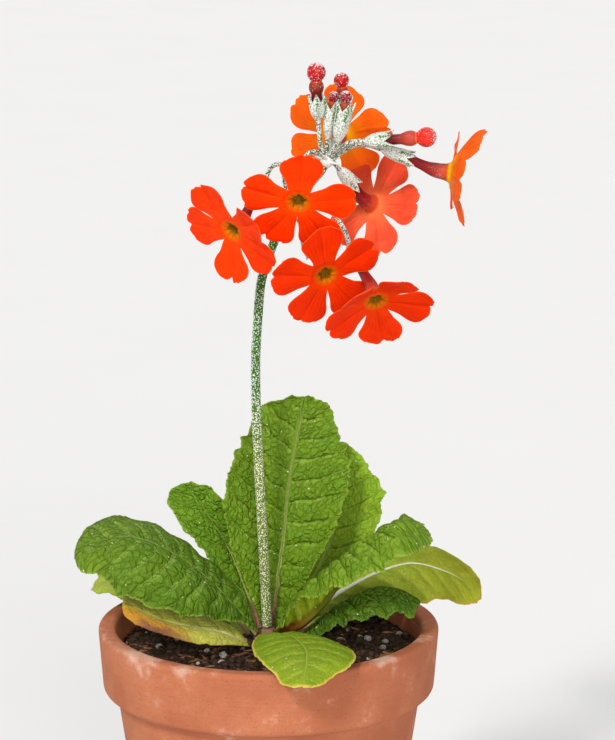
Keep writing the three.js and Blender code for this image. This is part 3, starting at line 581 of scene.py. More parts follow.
leaf_skin, skin_in, skin_out = effect(
    "leaf skin",
    {
        "Blade": (104, 139, 20),
        "Tip": (106, 140, 26),
        # The colour of the painted shade in creases, vein lines and grooves.
        "Crease Shade": (46, 72, 0),
        "Vein": (160, 184, 70),
        "Vein Share": 0.0,
        "Groove Shade Share": 0.8,
        "Rib": (176, 186, 100),
        "Rib Foot": (165, 105, 95),
        "Rib Half Width": 0.45,
        "Edge": (140, 166, 50),
        "Edge Width": 0.5,
        "Edge Share": 0.6,
        "Net Depth": 0.4,
        "Net Fineness": 0.54,
        "Mesh Share": 0.3,
    },
    ["Color", "Roughness", "Height"],
)
slanted, across, to_edge = carried(leaf_skin, "leaf_place")
share, down_vein, side_vein = carried(leaf_skin, "leaf_form")
where = place_in(leaf_skin)
off_rib = abs(across)
clear_of_rib = off_rib.soft(0.2, 0.8)

# The blade, lighter towards its tip and in some clouds
cloud = noise(where, 0.16, 3.0, 0.6)
body = share.soft(0.25, 1.0).between(skin_in["Blade"], skin_in["Tip"])
body = cloud.soft(0.35, 0.75).between(body, body.tinted((1.2, 1.12, 1.1, 1)))

# The lines of a network of fine veins, and of a finer mesh in it, on a map along and across
# the side veins, are painted crease shade.
flat = Value(put(leaf_skin, "CombineXYZ", slanted, down_vein, 0.0).outputs[0])
flat = noise(where, 0.8, output="Color").stretched((NET_BEND, NET_BEND, 0.0), flat)
to_net = borders(flat, skin_in["Net Fineness"])
to_mesh = borders(flat, MESH_FINENESS)
strength = noise(where, 0.3).soft(0.35, 0.6, 0.35, 1.0)
net_shade = to_net.soft(0.0, 0.075, 1.0, 0.0) * strength * clear_of_rib
body = (net_shade * 0.5).between(body, skin_in["Crease Shade"])
mesh_line_shade = to_mesh.soft(0.0, 0.1, 1.0, 0.0) * (skin_in["Mesh Share"] * 0.6)
body = mesh_line_shade.between(body, skin_in["Crease Shade"])

# The side veins: a painted highlight on the lip beside each groove, painted shade in the groove, and the
# vein's own pale colour in it at the vein share
body = side_vein.soft(-0.5, -0.05, 0.3, 0.0).between(body, skin_in["Vein"])
in_groove = side_vein.soft(0.1, 0.8)
body = (in_groove * skin_in["Groove Shade Share"]).between(body, skin_in["Crease Shade"])
body = (in_groove * skin_in["Vein Share"]).between(body, skin_in["Vein"])

# The ragged yellow edge
edge_reach = skin_in["Edge Width"] * (noise(where, 0.5, 3.0, 0.6) * 2.0)
edge = (1.0 - to_edge / edge_reach).soft(0.0, 0.9)
body = (edge * skin_in["Edge Share"]).between(body, skin_in["Edge"])

# The rib, broad at its foot and gone before the tip
rib_width = skin_in["Rib Half Width"] * share.soft(0.0, 0.5, 2.2, 1.0) * share.soft(0.35, 1.0, 1.0, 0.4)
rib = (off_rib / rib_width).soft(0.55, 1.15, 1.0, 0.0) * share.soft(0.8, 0.96, 1.0, 0.0)
body = rib.between(body, share.soft(0.05, 0.32).between(skin_in["Rib Foot"], skin_in["Rib"]))

# A few grains of meal
distance, drawn = spots(where, 0.55)
speck = distance.soft(0.07, 0.13, 1.0, 0.0) * drawn.sum("GREATER_THAN", 0.72)
body = (speck * 0.8).between(body, (235, 240, 220))
feed(skin_out["Color"], body)

# Gloss, and pillows between the lines
feed(skin_out["Roughness"], cloud * 0.25 + 0.42)
relief = to_net.soft(0.0, 0.24) * clear_of_rib + to_mesh.soft(0.0, 0.25) * skin_in["Mesh Share"]
feed(skin_out["Height"], relief * skin_in["Net Depth"] + noise(where, 5.0) * 0.03)
print("effect", leaf_skin.name, "with", len(leaf_skin.nodes), "nodes")

# %% [markdown]
# ## The leaves
# Each leaf is a blade strung between its rib and its two edges, given as a few points each.
# It could be sculpted, but a rule is easier to correct: a smooth sheet through rib, middle
# and edge, then teeth along the edge, grooves along the side veins and pillows between them.
# The places and sizes are the frame's own, counted from the crown.

# %% Leaf places, in millimetres from the crown
LEAVES = {
    "leaf_1": {
        "rib": [[0.3, 3.1, 0.4], [1.5, 4.5, 5], [2.5, 6, 14], [4, 8, 24.5], [5, 10, 35.5],
            [6.5, 11.5, 45.5], [8.5, 12.5, 55.5], [9.5, 13, 61]],
        "left": [[-1.1, 3, 0.4], [-2.6, 2, 5.5], [-6.5, 2, 14.5], [-10.5, 4, 25], [-11, 6.5, 37.5],
            [-8, 9.5, 46.5], [-2.5, 12.5, 56]],
        "right": [[1.7, 3, 0.4], [4.6, 2, 5.5], [10, 2, 14.5], [16.5, 3.5, 25.5], [20, 6.5, 37],
            [20, 10, 46], [16, 13.5, 55]],
        "bulge": [-0.8, -0.8], "ruffle": 0.6,
    },
    "leaf_2": {
        "rib": [[3.5, 4.2, -2.8], [7.5, 8.5, 3], [12, 12, 11.5], [16, 15, 19.5], [19, 17.5, 28],
            [20, 19.5, 35], [20, 21, 42], [19, 22, 46.5]],
        "left": [[2.3, 5.2, -2.8], [5, 10, 3.5], [8, 13, 13.5], [9, 19.5, 20.5], [10.5, 23, 29.5],
            [12, 25, 36], [14, 25.5, 42]],
        "right": [[4.7, 3.2, -2.8], [10, 7, 3], [17, 9, 10], [25, 11, 18.5], [29.5, 14, 28.5],
            [29.5, 16, 36], [25.5, 18.5, 42]],
        "bulge": [0.8, 0.8], "ruffle": 0.5,
    },
    "leaf_3": {
        "rib": [[-2.7, 1.9, 0.4], [-4.1, 5.5, 3.8], [-6, 8.5, 8], [-8.5, 10.5, 14.5], [-12, 12.5, 21.5],
            [-16, 13.5, 28], [-19, 14, 33], [-23, 14, 37]],
        "left": [[-3.3, 0.9, 0.4], [-5.6, 4.5, 4], [-7.8, 6.8, 8.3], [-12.5, 8, 14], [-18, 8, 21.5],
            [-23, 9.5, 27], [-26, 11.5, 32]],
        "right": [[-2, 2.9, 0.4], [-3, 6.1, 4], [-4.5, 8, 9], [-5.8, 9.5, 16], [-8, 10.5, 24],
            [-11, 10.8, 31], [-15, 12, 35]],
        "bulge": [0.6, 0.6], "ruffle": 0.4,
    },
    "leaf_4": {
        "rib": [[-3, -0.8, 0.4], [-8.5, -3, 7], [-15, -5, 15], [-21.5, -6.5, 21], [-29, -8, 26],
            [-36.5, -9, 28.5], [-43.5, -10, 27.5], [-50, -10, 25.5]],
        "left": [[-2.6, -2.2, 0.4], [-7.5, -6.3, 5], [-13.5, -11, 7.5], [-20.5, -15.5, 10],
            [-29, -16.5, 12], [-37, -17, 15.5], [-44.5, -17, 21]],
        "right": [[-3.2, 0.6, 0.4], [-6.5, 0.5, 8.5], [-12.5, 3.5, 15.5], [-19, 5, 20.5], [-26, 5.5, 25.5],
            [-34.5, 4.5, 29.5], [-43, 0.5, 31]],
        "bulge": [2.4, 0.8], "ruffle": 0.5,
    },
    "leaf_5": {
        "rib": [[-4.5, -3.1, -2.8], [-8, -6, -0.4], [-13, -9, 2.6], [-19, -11.5, 4.6], [-25.5, -13, 6.4],
            [-30.5, -13.8, 8.6], [-34.5, -13.6, 10.6], [-37.5, -13, 12]],
        "left": [[-3.7, -4.3, -2.8], [-7.5, -9, -0.8], [-13.5, -14.5, 1.2], [-19.5, -18, 3],
            [-25.5, -20, 5.5], [-31, -20.5, 7.5], [-35, -19, 9]],
        "right": [[-5.2, -1.9, -2.8], [-8, -2.4, 0.8], [-13.5, -1.5, 4], [-19, -1, 6], [-25.5, -1, 8],
            [-31, -2.5, 10], [-36, -6, 11.5]],
        "bulge": [1, 0.8], "ruffle": 0.5,
    },
    "leaf_6": {
        "rib": [[-0.2, -5.4, -2.8], [2.5, -13, 3], [6, -22, 5.5], [8.5, -31, 6.4], [10, -39, 6.6],
            [10, -46, 5.9], [9.5, -51.5, 4.6], [9, -55, 3]],
        "left": [[1.2, -5.4, -2.8], [7, -10.5, 2.5], [12, -17, 4], [17.5, -25, 4.8], [22, -36, 5],
            [20.5, -43.5, 4.6], [15.5, -49.5, 3.2]],
        "right": [[-1.6, -5.4, -2.8], [-1.5, -11.5, 2.6], [-3, -20, 4], [-3.5, -27.5, 4.6],
            [-2.5, -35.5, 4.8], [0, -43, 4.6], [3.5, -49.5, 3]],
        "bulge": [0.9, 0.9], "ruffle": 0.4,
    },
    "leaf_7": {
        "rib": [[2, -2.5, 0.4], [8, -7.5, 3.6], [13.5, -11, 9.5], [18.5, -14, 16.5], [24.5, -18, 23],
            [30, -21, 28.5], [36, -24, 32.5], [41.5, -27, 32.5]],
        "left": [[3.2, -1.8, 0.4], [9, -5, 4.6], [14, -6, 12], [19.5, -7.8, 20.5], [26, -8.5, 27],
            [31, -12, 32.5], [36.5, -16.5, 35.5]],
        "right": [[1, -3.3, 0.4], [4.6, -10, 5.8], [7.5, -14, 12], [13.5, -19, 16], [20.5, -24, 20.5],
            [28, -28, 25.5], [34.5, -30, 29.5]],
        "right_ridge": [[1.5, -2.9, 0.4], [5.5, -8, 8], [9.5, -11, 15], [15.5, -15, 22], [20.5, -20, 27.5],
            [26.5, -24, 33], [32.5, -27, 37.5]],
        "bulge": [1, 1], "ruffle": 0.7,
    },
    "leaf_8": {
        "rib": [[3.2, 0, 0.4], [8.5, 0.2, 3.8], [14, -1, 8.2], [20, -3, 13], [28.5, -4.5, 18],
            [37.5, -6, 21], [46, -8, 19.4], [55.5, -10, 14.5]],
        "left": [[3.1, 1.3, 0.2], [9.6, 2.2, 2.8], [17, 3.5, 4.5], [23, 3.5, 6.8], [31.5, 1.5, 8],
            [39.5, -1.5, 9], [47, -4.5, 10.5]],
        "right": [[3.2, -1.2, 0.8], [8, -0.7, 5.6], [13, -2.2, 11.4], [19, -5, 16.6], [27.5, -9, 23.4],
            [36, -14.5, 27], [46.5, -15.5, 26]],
        "bulge": [0.8, 0.8], "ruffle": 0.4,
    },
    "leaf_9": {
        "rib": [[4.4, -3.1, -2.8], [8.5, -4.6, 0.8], [13.5, -6.5, 5.8], [18.5, -9, 10.5], [24, -10.5, 14],
            [29, -11, 15.6], [34.5, -11, 14.8], [39.5, -11, 12]],
        "left": [[5.1, -2.1, -2.8], [8.9, -2.8, 0.6], [14.2, -3.6, 4], [20, -4.8, 6.5], [25, -5.5, 8.5],
            [30.5, -6.5, 8.6], [35, -7.5, 9.6]],
        "right": [[3.7, -4.1, -2.8], [8.6, -6.4, 0.4], [14.5, -10, 3.8], [20, -14.5, 7.6], [25, -17.5, 9.6],
            [30.5, -18, 10], [35, -16, 10.4]],
        "bulge": [1, 1.4], "ruffle": 0.8,
    },
    "leaf_10": {
        "rib": [[-5, 2, -2.8], [-9, 7.5, 0.6], [-15, 12, 3.5], [-23.5, 15, 6], [-31, 17, 7.5],
            [-38.5, 18, 9], [-43.5, 18.5, 8.5], [-47.5, 18.5, 7.5]],
        "left": [[-5.5, 0.9, -2.8], [-9.5, 4.5, 0.4], [-15.5, 6, 1.6], [-23.5, 6, 4], [-31, 7, 5.8],
            [-39, 9, 7], [-44.5, 12, 7.5]],
        "right": [[-4.5, 3.1, -2.8], [-7.5, 10.5, 1], [-14, 18, 3.5], [-22.5, 24, 5.5], [-30.5, 27, 7.5],
            [-38.5, 27, 8.5], [-44, 25, 8.5]],
        "bulge": [1, 1], "ruffle": 0.5,
    },
    "leaf_11": {
        "rib": [[-1, 5.3, -2.8], [-1.4, 11, 1], [-1, 18, 4], [0, 25, 7.5], [1.5, 32, 10], [3, 38.5, 11],
            [4, 44, 10], [4.5, 48, 8]],
        "left": [[-2.2, 5.1, -2.8], [-4, 11, 1.4], [-6, 18.5, 4], [-8.5, 26, 6.5], [-9.5, 34, 8],
            [-7.5, 41, 8.5], [-3, 46, 8]],
        "right": [[0.3, 5.4, -2.8], [1.6, 11.5, 1.4], [5, 18, 4.4], [8.5, 24, 6.5], [12, 30, 8],
            [13.5, 36.5, 8.5], [11.5, 43, 8]],
        "bulge": [1, 1], "ruffle": 0.5,
    },
    "leaf_12": {
        "rib": [[5.3, 1.5, -2.8], [11, 5.5, 0], [17, 10, 1.6], [23, 15, 3], [29, 20, 4.2],
            [34.5, 24.5, 5.5], [38.5, 28, 6], [42, 30.5, 5.5]],
        "left": [[4.8, 2.6, -2.8], [9.5, 7.5, 0.2], [13.5, 14, 2], [17.5, 21, 3], [22, 27.5, 4],
            [28, 32.5, 5], [34, 34, 5.2]],
        "right": [[5.7, 0.4, -2.8], [12, 3.6, -0.2], [20, 6.2, 1], [28, 9.5, 2.2], [34.5, 13.5, 3.5],
            [40, 18.5, 4.6], [42.5, 24, 5.2]],
        "bulge": [0.8, 0.8], "ruffle": 0.4,
    },
}

# %% Leaf sizes
ROUND_END_START = 6 / 7
ROUND_END_WIDTH = 0.85
ROUND_END_LAST = 88
WAVE_RATE = 21 * 1.9
LEAF_HALF_THICKNESS = 0.22
LEAF_EDGE_HALF_THICKNESS = 0.12
RIB_DEPTH_AT_FOOT = 1.1
RIB_DEPTH_AT_TIP = 0.25
RIB_HALF_WIDTH = 0.9
TOOTH_PITCH = 2.8
TOOTH_RISE = 0.7
FINE_TOOTH_PITCH = 0.95
CORNER_PITCH = 8.4
CORNER_RISE = 0.62
EDGE_OUT = 0.45
EDGE_POINTS = 7
FINE_TOOTH_SHARE = 0.28
TOOTHED_OUTSIDE = 0.6
BARE_FOOT = 2
TOOTHED_FROM = 9
VEIN_STAGGER = 0.45
HALVES_APART = 36
GROOVE_HALF_WIDTH = 0.5
VEIN_HALF_WIDTH = 0.3
LIP_AWAY = 0.55
LIP_HIGHLIGHT_SHARE = 0.8


# %% The middle sheet of a leaf
def leaf_rail(leaf, side):
    """The points of one edge, carried on beside the tip."""
    points = np.array(leaf[side], float)
    rib = np.array(leaf["rib"], float)
    return np.vstack([points, rib[-1] + (points[-1] - rib[-2]) * ROUND_END_WIDTH])


def leaf_places(rows):
    """Places along a leaf, closer together where its end turns round."""
    last = np.radians(np.linspace(0, ROUND_END_LAST, rows // 5 + 1)[1:])
    place = np.concatenate([
        np.linspace(0, ROUND_END_START, rows),
        ROUND_END_START + (1 - ROUND_END_START) * np.sin(last),
    ])
    return place, np.concatenate([np.ones(rows), np.cos(last)])


def leaf_sheet(leaf, ruffle, place, width, shares):
    """The smooth sheet, and for each half its rib, edge and breadth."""
    rib = curve_at(leaf["rib"], place)
    ahead = heading_at(leaf["rib"], place)
    edges = [curve_at(leaf_rail(leaf, side), place) for side in ("left", "right")]
    normal = unit(np.cross(edges[1] - edges[0], ahead))
    sheet = np.zeros((len(place), len(shares), 3))
    breadth = np.zeros((len(place), len(shares)))
    for half, edge in enumerate(edges):
        reach = (edge - rib) * width[:, None]
        length = np.linalg.norm(reach, axis=1)
        wave = ruffle * np.sin(WAVE_RATE * place + half) * np.minimum(1, length / 8)
        middle = rib + reach / 2 + normal * (leaf["bulge"][half] * length / 12)[:, None]
        spread = length
        if half and "right_ridge" in leaf:
            ridge = curve_at(leaf_rail({**leaf, "right": leaf["right_ridge"]}, "right"), place)
            middle = rib + (ridge - rib) * width[:, None]
            spread = np.linalg.norm(ridge - rib, axis=1) + np.linalg.norm(edge - ridge, axis=1)
            spread = np.maximum(spread * width * 0.9, length)
        out = unit(reach) * (EDGE_OUT * smooth_step(length, 1, 3))[:, None]
        margin = rib + reach + out + normal * wave[:, None]
        bend = 2 * middle - (rib + margin) / 2
        columns = np.nonzero(shares < 0 if half == 0 else shares >= 0)[0]
        for column in columns:
            share = abs(shares[column])
            sheet[:, column] = (1 - share) ** 2 * rib + 2 * share * (1 - share) * bend + share**2 * margin
            breadth[:, column] = spread
    return sheet, breadth


# %% Teeth and lobes along the edge
def saw(pace, peak):
    """Teeth from 0 to 1, one to a step of the pace, that rise for a share of it and fall again."""
    step = pace - np.floor(pace)
    return np.minimum(step / peak, (1 - step) / (1 - peak))


def cut_edge(sheet, shares, normals, teeth, seed):
    """Pushes the outer points of the sheet out into teeth and shallow lobes."""
    for column, sign in ((0, -1), (len(shares) - 1, 1)):
        margin = sheet[:, column].copy()
        outward = unit(np.cross(np.gradient(margin, axis=0), normals[:, column])) * sign
        run = length_along(margin)
        pace = run / TOOTH_PITCH + 0.35 * np.sin(run / 1.9 + seed) + 0.3 * np.sin(run / 4.3 + 2 * seed)
        size = 0.1 + 0.8 * scatter(np.floor(pace), column, seed) ** 1.5
        tooth = teeth * size * saw(pace, TOOTH_RISE)
        fine_pace = run / FINE_TOOTH_PITCH + 0.4 * np.sin(run / 0.7 + seed)
        tooth = tooth + FINE_TOOTH_SHARE * teeth * saw(fine_pace, TOOTH_RISE)
        pace = run / CORNER_PITCH + 0.45 * np.sin(run / 3.1 + 1.3 * seed)
        size = 0.4 + 1.3 * scatter(np.floor(pace), column, seed + 4)
        lobe = saw(pace, CORNER_RISE) ** 1.2 * size - 0.65
        push = (tooth + teeth * lobe) * smooth_step(run, BARE_FOOT, TOOTHED_FROM)
        for place, share in enumerate(shares * sign):
            if share > TOOTHED_OUTSIDE:
                sheet[:, place] += outward * (push * smooth_step(share, TOOTHED_OUTSIDE, 1) ** 1.5)[:, None]
    return sheet


# %% Grooves of the side veins
def leaf_relief(look, along, across, to_edge, share_along, seed):
    """The height of the blade, in millimetres, each point's distances across and along the side
    veins, and a mask that is above zero in a side vein and below zero on the lip beside it, where
    the leaf skin paints a highlight."""
    reach = np.abs(across)
    beyond_rib = across > 0
    lean = np.where(across < 0, look["lean"][0], look["lean"][1])
    slanted = along - lean * reach - (0.008 + 0.03 * share_along**2) * reach**2
    slanted = slanted + 0.5 * ripple(along * 0.35, across * 0.4, seed)
    slanted = slanted + 0.2 * ripple(along * 1.9, across * 1.9, seed + 3)
    pace = slanted / look["pitch"] + beyond_rib * VEIN_STAGGER
    beyond = (pace - np.floor(pace) - 0.5) * look["pitch"]
    off = np.abs(beyond)
    inner = smooth_step(to_edge, 0.5, 4) * smooth_step(reach, 0.2, 1.0)
    groove = hump(off, GROOVE_HALF_WIDTH) * inner
    # The lip beside a side vein, where the leaf skin paints a highlight.
    lip = LIP_HIGHLIGHT_SHARE * hump(beyond + LIP_AWAY, VEIN_HALF_WIDTH)
    vein_line = (hump(off, VEIN_HALF_WIDTH) - lip) * inner
    swell = smooth_step(off, 0.1, 0.42 * look["pitch"]) + 0.5 * ripple(along * 0.6, across * 0.7, seed + 4)
    swell = swell + 0.2 * ripple(along * 1.2, across * 1.3, seed + 2)
    room = smooth_step(to_edge, 0, 1.6) * smooth_step(reach, 0.3, 1.6)
    height = look["depth"] * ((swell - 0.6) * room - 0.9 * groove)
    slope = np.sqrt(1 + lean**2)
    down_vein = (reach + lean * along) / slope + HALVES_APART * beyond_rib
    return height, slanted / slope, down_vein, vein_line


# %% A whole leaf
def make_leaf(name, finishes, look, seed):
    """The blade with its two faces, standing for the frame's plain leaf."""
    leaf = LEAVES[name]
    run = length_along(curve_at(leaf["rib"], np.linspace(0, 1, 40)))[-1]
    rib_points = np.array(leaf["rib"][:EDGE_POINTS])
    widest = max(np.linalg.norm(leaf[side] - rib_points, axis=1).max() for side in ("left", "right"))
    place, width = leaf_places(int(run * ROUND_END_START / look["mesh"]))
    half = int(widest / look["mesh"])
    steps = np.linspace(0, 1, half + 1)
    shares = np.concatenate([-steps[:0:-1], steps])
    sheet, breadth = leaf_sheet(leaf, look.get("ruffle", leaf["ruffle"]), place, width, shares)
    sheet = cut_edge(sheet, shares, sheet_normals(sheet), look["teeth"], seed)
    along = np.broadcast_to(length_along(sheet[:, half])[:, None], breadth.shape)
    across = breadth * shares
    to_edge = np.minimum(breadth - np.abs(across), np.maximum(along[-1] - along, 0) + 0.05)
    share_along = np.broadcast_to(place[:, None], breadth.shape)
    height, slanted, down_vein, side_vein = leaf_relief(look, along, across, to_edge, share_along, seed)
    sheet = sheet + sheet_normals(sheet) * height[..., None]
    normals = sheet_normals(sheet)
    half_thickness = smooth_step(to_edge, 0, 1.2, LEAF_EDGE_HALF_THICKNESS, LEAF_HALF_THICKNESS)
    rib_width = RIB_HALF_WIDTH * (1.25 - share_along)
    rib = hump(across, rib_width) * smooth_step(1 - share_along, 0.02, 0.2)
    ridge = (RIB_DEPTH_AT_FOOT + (RIB_DEPTH_AT_TIP - RIB_DEPTH_AT_FOOT) * np.sqrt(share_along)) * rib
    shells = Shells()
    blade_shell(
        shells,
        sheet + normals * (half_thickness + look["rib_lift"] * rib)[..., None] + CROWN,
        sheet - normals * (half_thickness + ridge)[..., None] + CROWN,
        leaf_place=carry(sheet, slanted, across, to_edge),
        leaf_form=carry(sheet, share_along, down_vein, side_vein),
    )
    shells.piece(f"{name}_blade", finishes, "leaf", [name], crease=70)
    print(name, "rows", len(place), "columns", len(shares), "faces", len(shells.faces))


# %% [markdown]
# ## How the leaves differ
# The big upright leaf and the arched one are the most crinkled. The leaf on the right shows
# its pale underside with a white rib, the low one under the left is old and turning yellow
# and brown, and the small one in front is yellow at its edge. Tables keep these shapes and
# colours, because they are easier to compare there than in a function for each leaf.

# %% Shapes of the leaves
PLAIN_LOOK = {
    "depth": 0.26,
    "lean": [0.5, 0.5],
    "pitch": 5.4,
    "teeth": 0.75,
    "mesh": 0.32,
    "rib_lift": 0.0,
}
LEAF_LOOKS = {
    "leaf_1": {"depth": 0.36, "lean": [0.45, -0.08], "pitch": 5.6, "teeth": 1.05},
    "leaf_2": {"depth": 0.3, "lean": [0.5, 0.3], "teeth": 0.9},
    "leaf_3": {"depth": 0.3, "lean": [0.6, 0.45], "teeth": 0.6},
    "leaf_4": {"depth": 0.34, "lean": [0.42, 0.4], "pitch": 5.0, "teeth": 0.8},
    "leaf_5": {"depth": 0.16, "mesh": 0.4, "teeth": 0.3, "ruffle": 0.12},
    "leaf_6": {"depth": 0.2, "mesh": 0.42, "teeth": 0.25, "ruffle": 0.08},
    "leaf_7": {"depth": 0.4, "pitch": 4.6, "teeth": 0.9},
    "leaf_8": {"depth": 0.14, "mesh": 0.4, "teeth": 0.5, "rib_lift": 0.1},
    "leaf_9": {"depth": 0.4, "teeth": 1.25},
    "leaf_10": {"depth": 0.12, "mesh": 0.5, "teeth": 1.0},
    "leaf_11": {"depth": 0.3, "mesh": 0.5},
    "leaf_12": {"depth": 0.3, "mesh": 0.5},
}

# %% Looks of the leaves
LEAF_TISSUE = {"specular": 0.22, "soft": 0.08, "reach": 0.0006}
LEAF_SKINS = {
    "fresh leaf": {},
    "fresh leaf with a pink rib": {"Rib Foot": (165, 95, 105), "Rib Half Width": 0.42},
    "dark leaf": {"Blade": (94, 132, 20), "Tip": (104, 144, 28), "Crease Shade": (44, 74, 0)},
    "drooping leaf": {
        # A darker green than the other leaves: partly the leaf's own colour and partly painted shade from
        # the leaf above it.
        "Blade": (72, 104, 12), "Tip": (76, 108, 16), "Crease Shade": (30, 62, 4),
        "Edge": (112, 142, 46), "Edge Share": 0.4,
    },
    "arched leaf": {
        "Blade": (82, 117, 12), "Tip": (99, 131, 22), "Crease Shade": (44, 70, 0),
        "Vein": (150, 180, 78), "Vein Share": 0.6, "Groove Shade Share": 0.0,
        "Net Depth": 0.44, "Net Fineness": 0.47, "Mesh Share": 0.2,
        "Rib": (146, 176, 76), "Rib Foot": (136, 165, 72), "Rib Half Width": 0.3,
    },
    "small front leaf": {
        "Blade": (118, 147, 21), "Tip": (132, 155, 27), "Crease Shade": (80, 116, 12),
        "Vein": (172, 188, 80), "Vein Share": 0.4, "Groove Shade Share": 0.15, "Net Depth": 0.1,
        "Rib": (168, 184, 76), "Rib Foot": (176, 180, 86), "Rib Half Width": 0.22,
        "Edge": (214, 186, 80), "Edge Width": 0.8, "Edge Share": 0.9,
    },
    "leaf underside": {
        "Blade": (132, 156, 44), "Tip": (140, 162, 50), "Crease Shade": (112, 140, 40),
        "Vein": (182, 196, 108), "Vein Share": 0.6, "Groove Shade Share": 0.15, "Net Depth": 0.06,
        "Rib": (216, 216, 160), "Rib Foot": (214, 208, 150), "Rib Half Width": 0.75,
    },
    "pale underside": {
        # Blade, the colour at the foot, is lighter than the leaf itself: painted light where the leaf above
        # shades the foot.
        "Blade": (198, 226, 84), "Tip": (152, 160, 38), "Crease Shade": (122, 144, 28),
        "Vein": (190, 202, 84), "Vein Share": 0.45, "Groove Shade Share": 0.15, "Net Depth": 0.05,
        "Rib": (255, 255, 236), "Rib Foot": (255, 254, 232), "Rib Half Width": 0.62,
        "Edge": (205, 150, 60), "Edge Width": 0.8,
    },
    "pale outer leaf": {
        "Blade": (140, 160, 44), "Tip": (164, 178, 64), "Crease Shade": (120, 144, 40), "Net Depth": 0.08,
    },
    "olive underside with a red foot": {
        "Blade": (146, 164, 26), "Tip": (146, 170, 40), "Crease Shade": (104, 124, 16),
        "Vein": (150, 160, 50), "Vein Share": 0.4, "Groove Shade Share": 0.15, "Net Depth": 0.05,
        "Rib": (104, 108, 14), "Rib Foot": (116, 50, 14), "Rib Half Width": 0.62,
    },
    "fresh leaf behind": {
        "Blade": (134, 166, 30), "Tip": (126, 162, 32), "Crease Shade": (72, 112, 10),
        "Rib Half Width": 0.35, "Net Depth": 0.24,
    },
}
OLD_LEAF = {
    "Blade": (188, 190, 82), "Tip": (174, 164, 50), "Crease Shade": (120, 118, 26), "Vein": (196, 190, 90),
    "Rib": (206, 206, 150), "Rib Foot": (198, 190, 90), "Rib Half Width": 0.5,
    "Edge": (190, 160, 60), "Groove Shade Share": 0.2, "Net Depth": 0.12,
}
skins = {name: skinned(name, leaf_skin, looks, **LEAF_TISSUE) for name, looks in LEAF_SKINS.items()}
print("leaf finishes", len(skins))

# %% The old leaf
# Yellow-green at its foot and over its rib, orange below the rib and pinkish brown at the edge.
ageing, tree, shader = finish("old yellow leaf", **LEAF_TISSUE)
skins["old yellow leaf"] = ageing
skin = use(tree, leaf_skin, **OLD_LEAF)
_, across, to_edge = carried(tree, "leaf_place")
share, _, _ = carried(tree, "leaf_form")
cloud = noise(place_in(tree), 0.3, 4.0, 0.6)
below = (across + cloud * 3.0).soft(-1.6, 0.6, 1.0, 0.0)
outward = (share + cloud * 0.3).soft(0.5, 0.8)
body = (below * outward * 0.9).between(skin["Color"], (196, 138, 44))
rim = (to_edge - cloud * 6.0).soft(-2.6, -0.6, 1.0, 0.0)
rim = rim * below * outward * share.soft(0.72, 0.86, 1.0, 0.0)
body = rim.between(body, cloud.between((98, 54, 40), (164, 106, 78)))
paint(shader, body, skin["Height"], roughness=skin["Roughness"])

# %% Make the leaves
# The upper and the lower face of a leaf. The leaves that aren't named here share one pair.
LEAF_FACES = {
    "leaf_1": ("fresh leaf with a pink rib", "leaf underside"),
    "leaf_2": ("fresh leaf behind", "leaf underside"),
    "leaf_4": ("arched leaf", "leaf underside"),
    "leaf_5": ("old yellow leaf", "old yellow leaf"),
    "leaf_6": ("small front leaf", "leaf underside"),
    "leaf_7": ("fresh leaf", "olive underside with a red foot"),
    "leaf_8": ("fresh leaf", "pale underside"),
    "leaf_9": ("drooping leaf", "leaf underside"),
    "leaf_10": ("pale outer leaf", "leaf underside"),
}
SHARED_FACES = ("dark leaf", "leaf underside")
for number, name in enumerate(LEAVES):
    faces = [skins[face] for face in LEAF_FACES.get(name, SHARED_FACES)]
    make_leaf(name, faces, {**PLAIN_LOOK, **LEAF_LOOKS[name]}, seed=number + 1)

# %% [markdown]
# ## Where the flowers and the buds are
# The flower stalks leave the stem at two whorls. Every open flower has a place, the way it
# faces, and five lobes with their turns and lifts. The numbers are the frame's own again.

# %% Flower places, in millimetres from the crown
STEM_ROUTE = [[-0.4, 0, 1.7], [-1.7, 0, 30.5], [-2.5, 0, 46], [-3.2, 0, 66], [-3.1, 0, 76],
    [-2.4, 0, 87], [-1.7, 0, 94], [0, 0, 100], [2.6, 0, 107], [6, 0, 113.5], [10.3, 0, 119],
    [14, 0, 123.5], [16, 0, 127]]
LOWER_WHORL = [6, 0, 113.5]
UPPER_WHORL = [15.2, 0, 125.6]
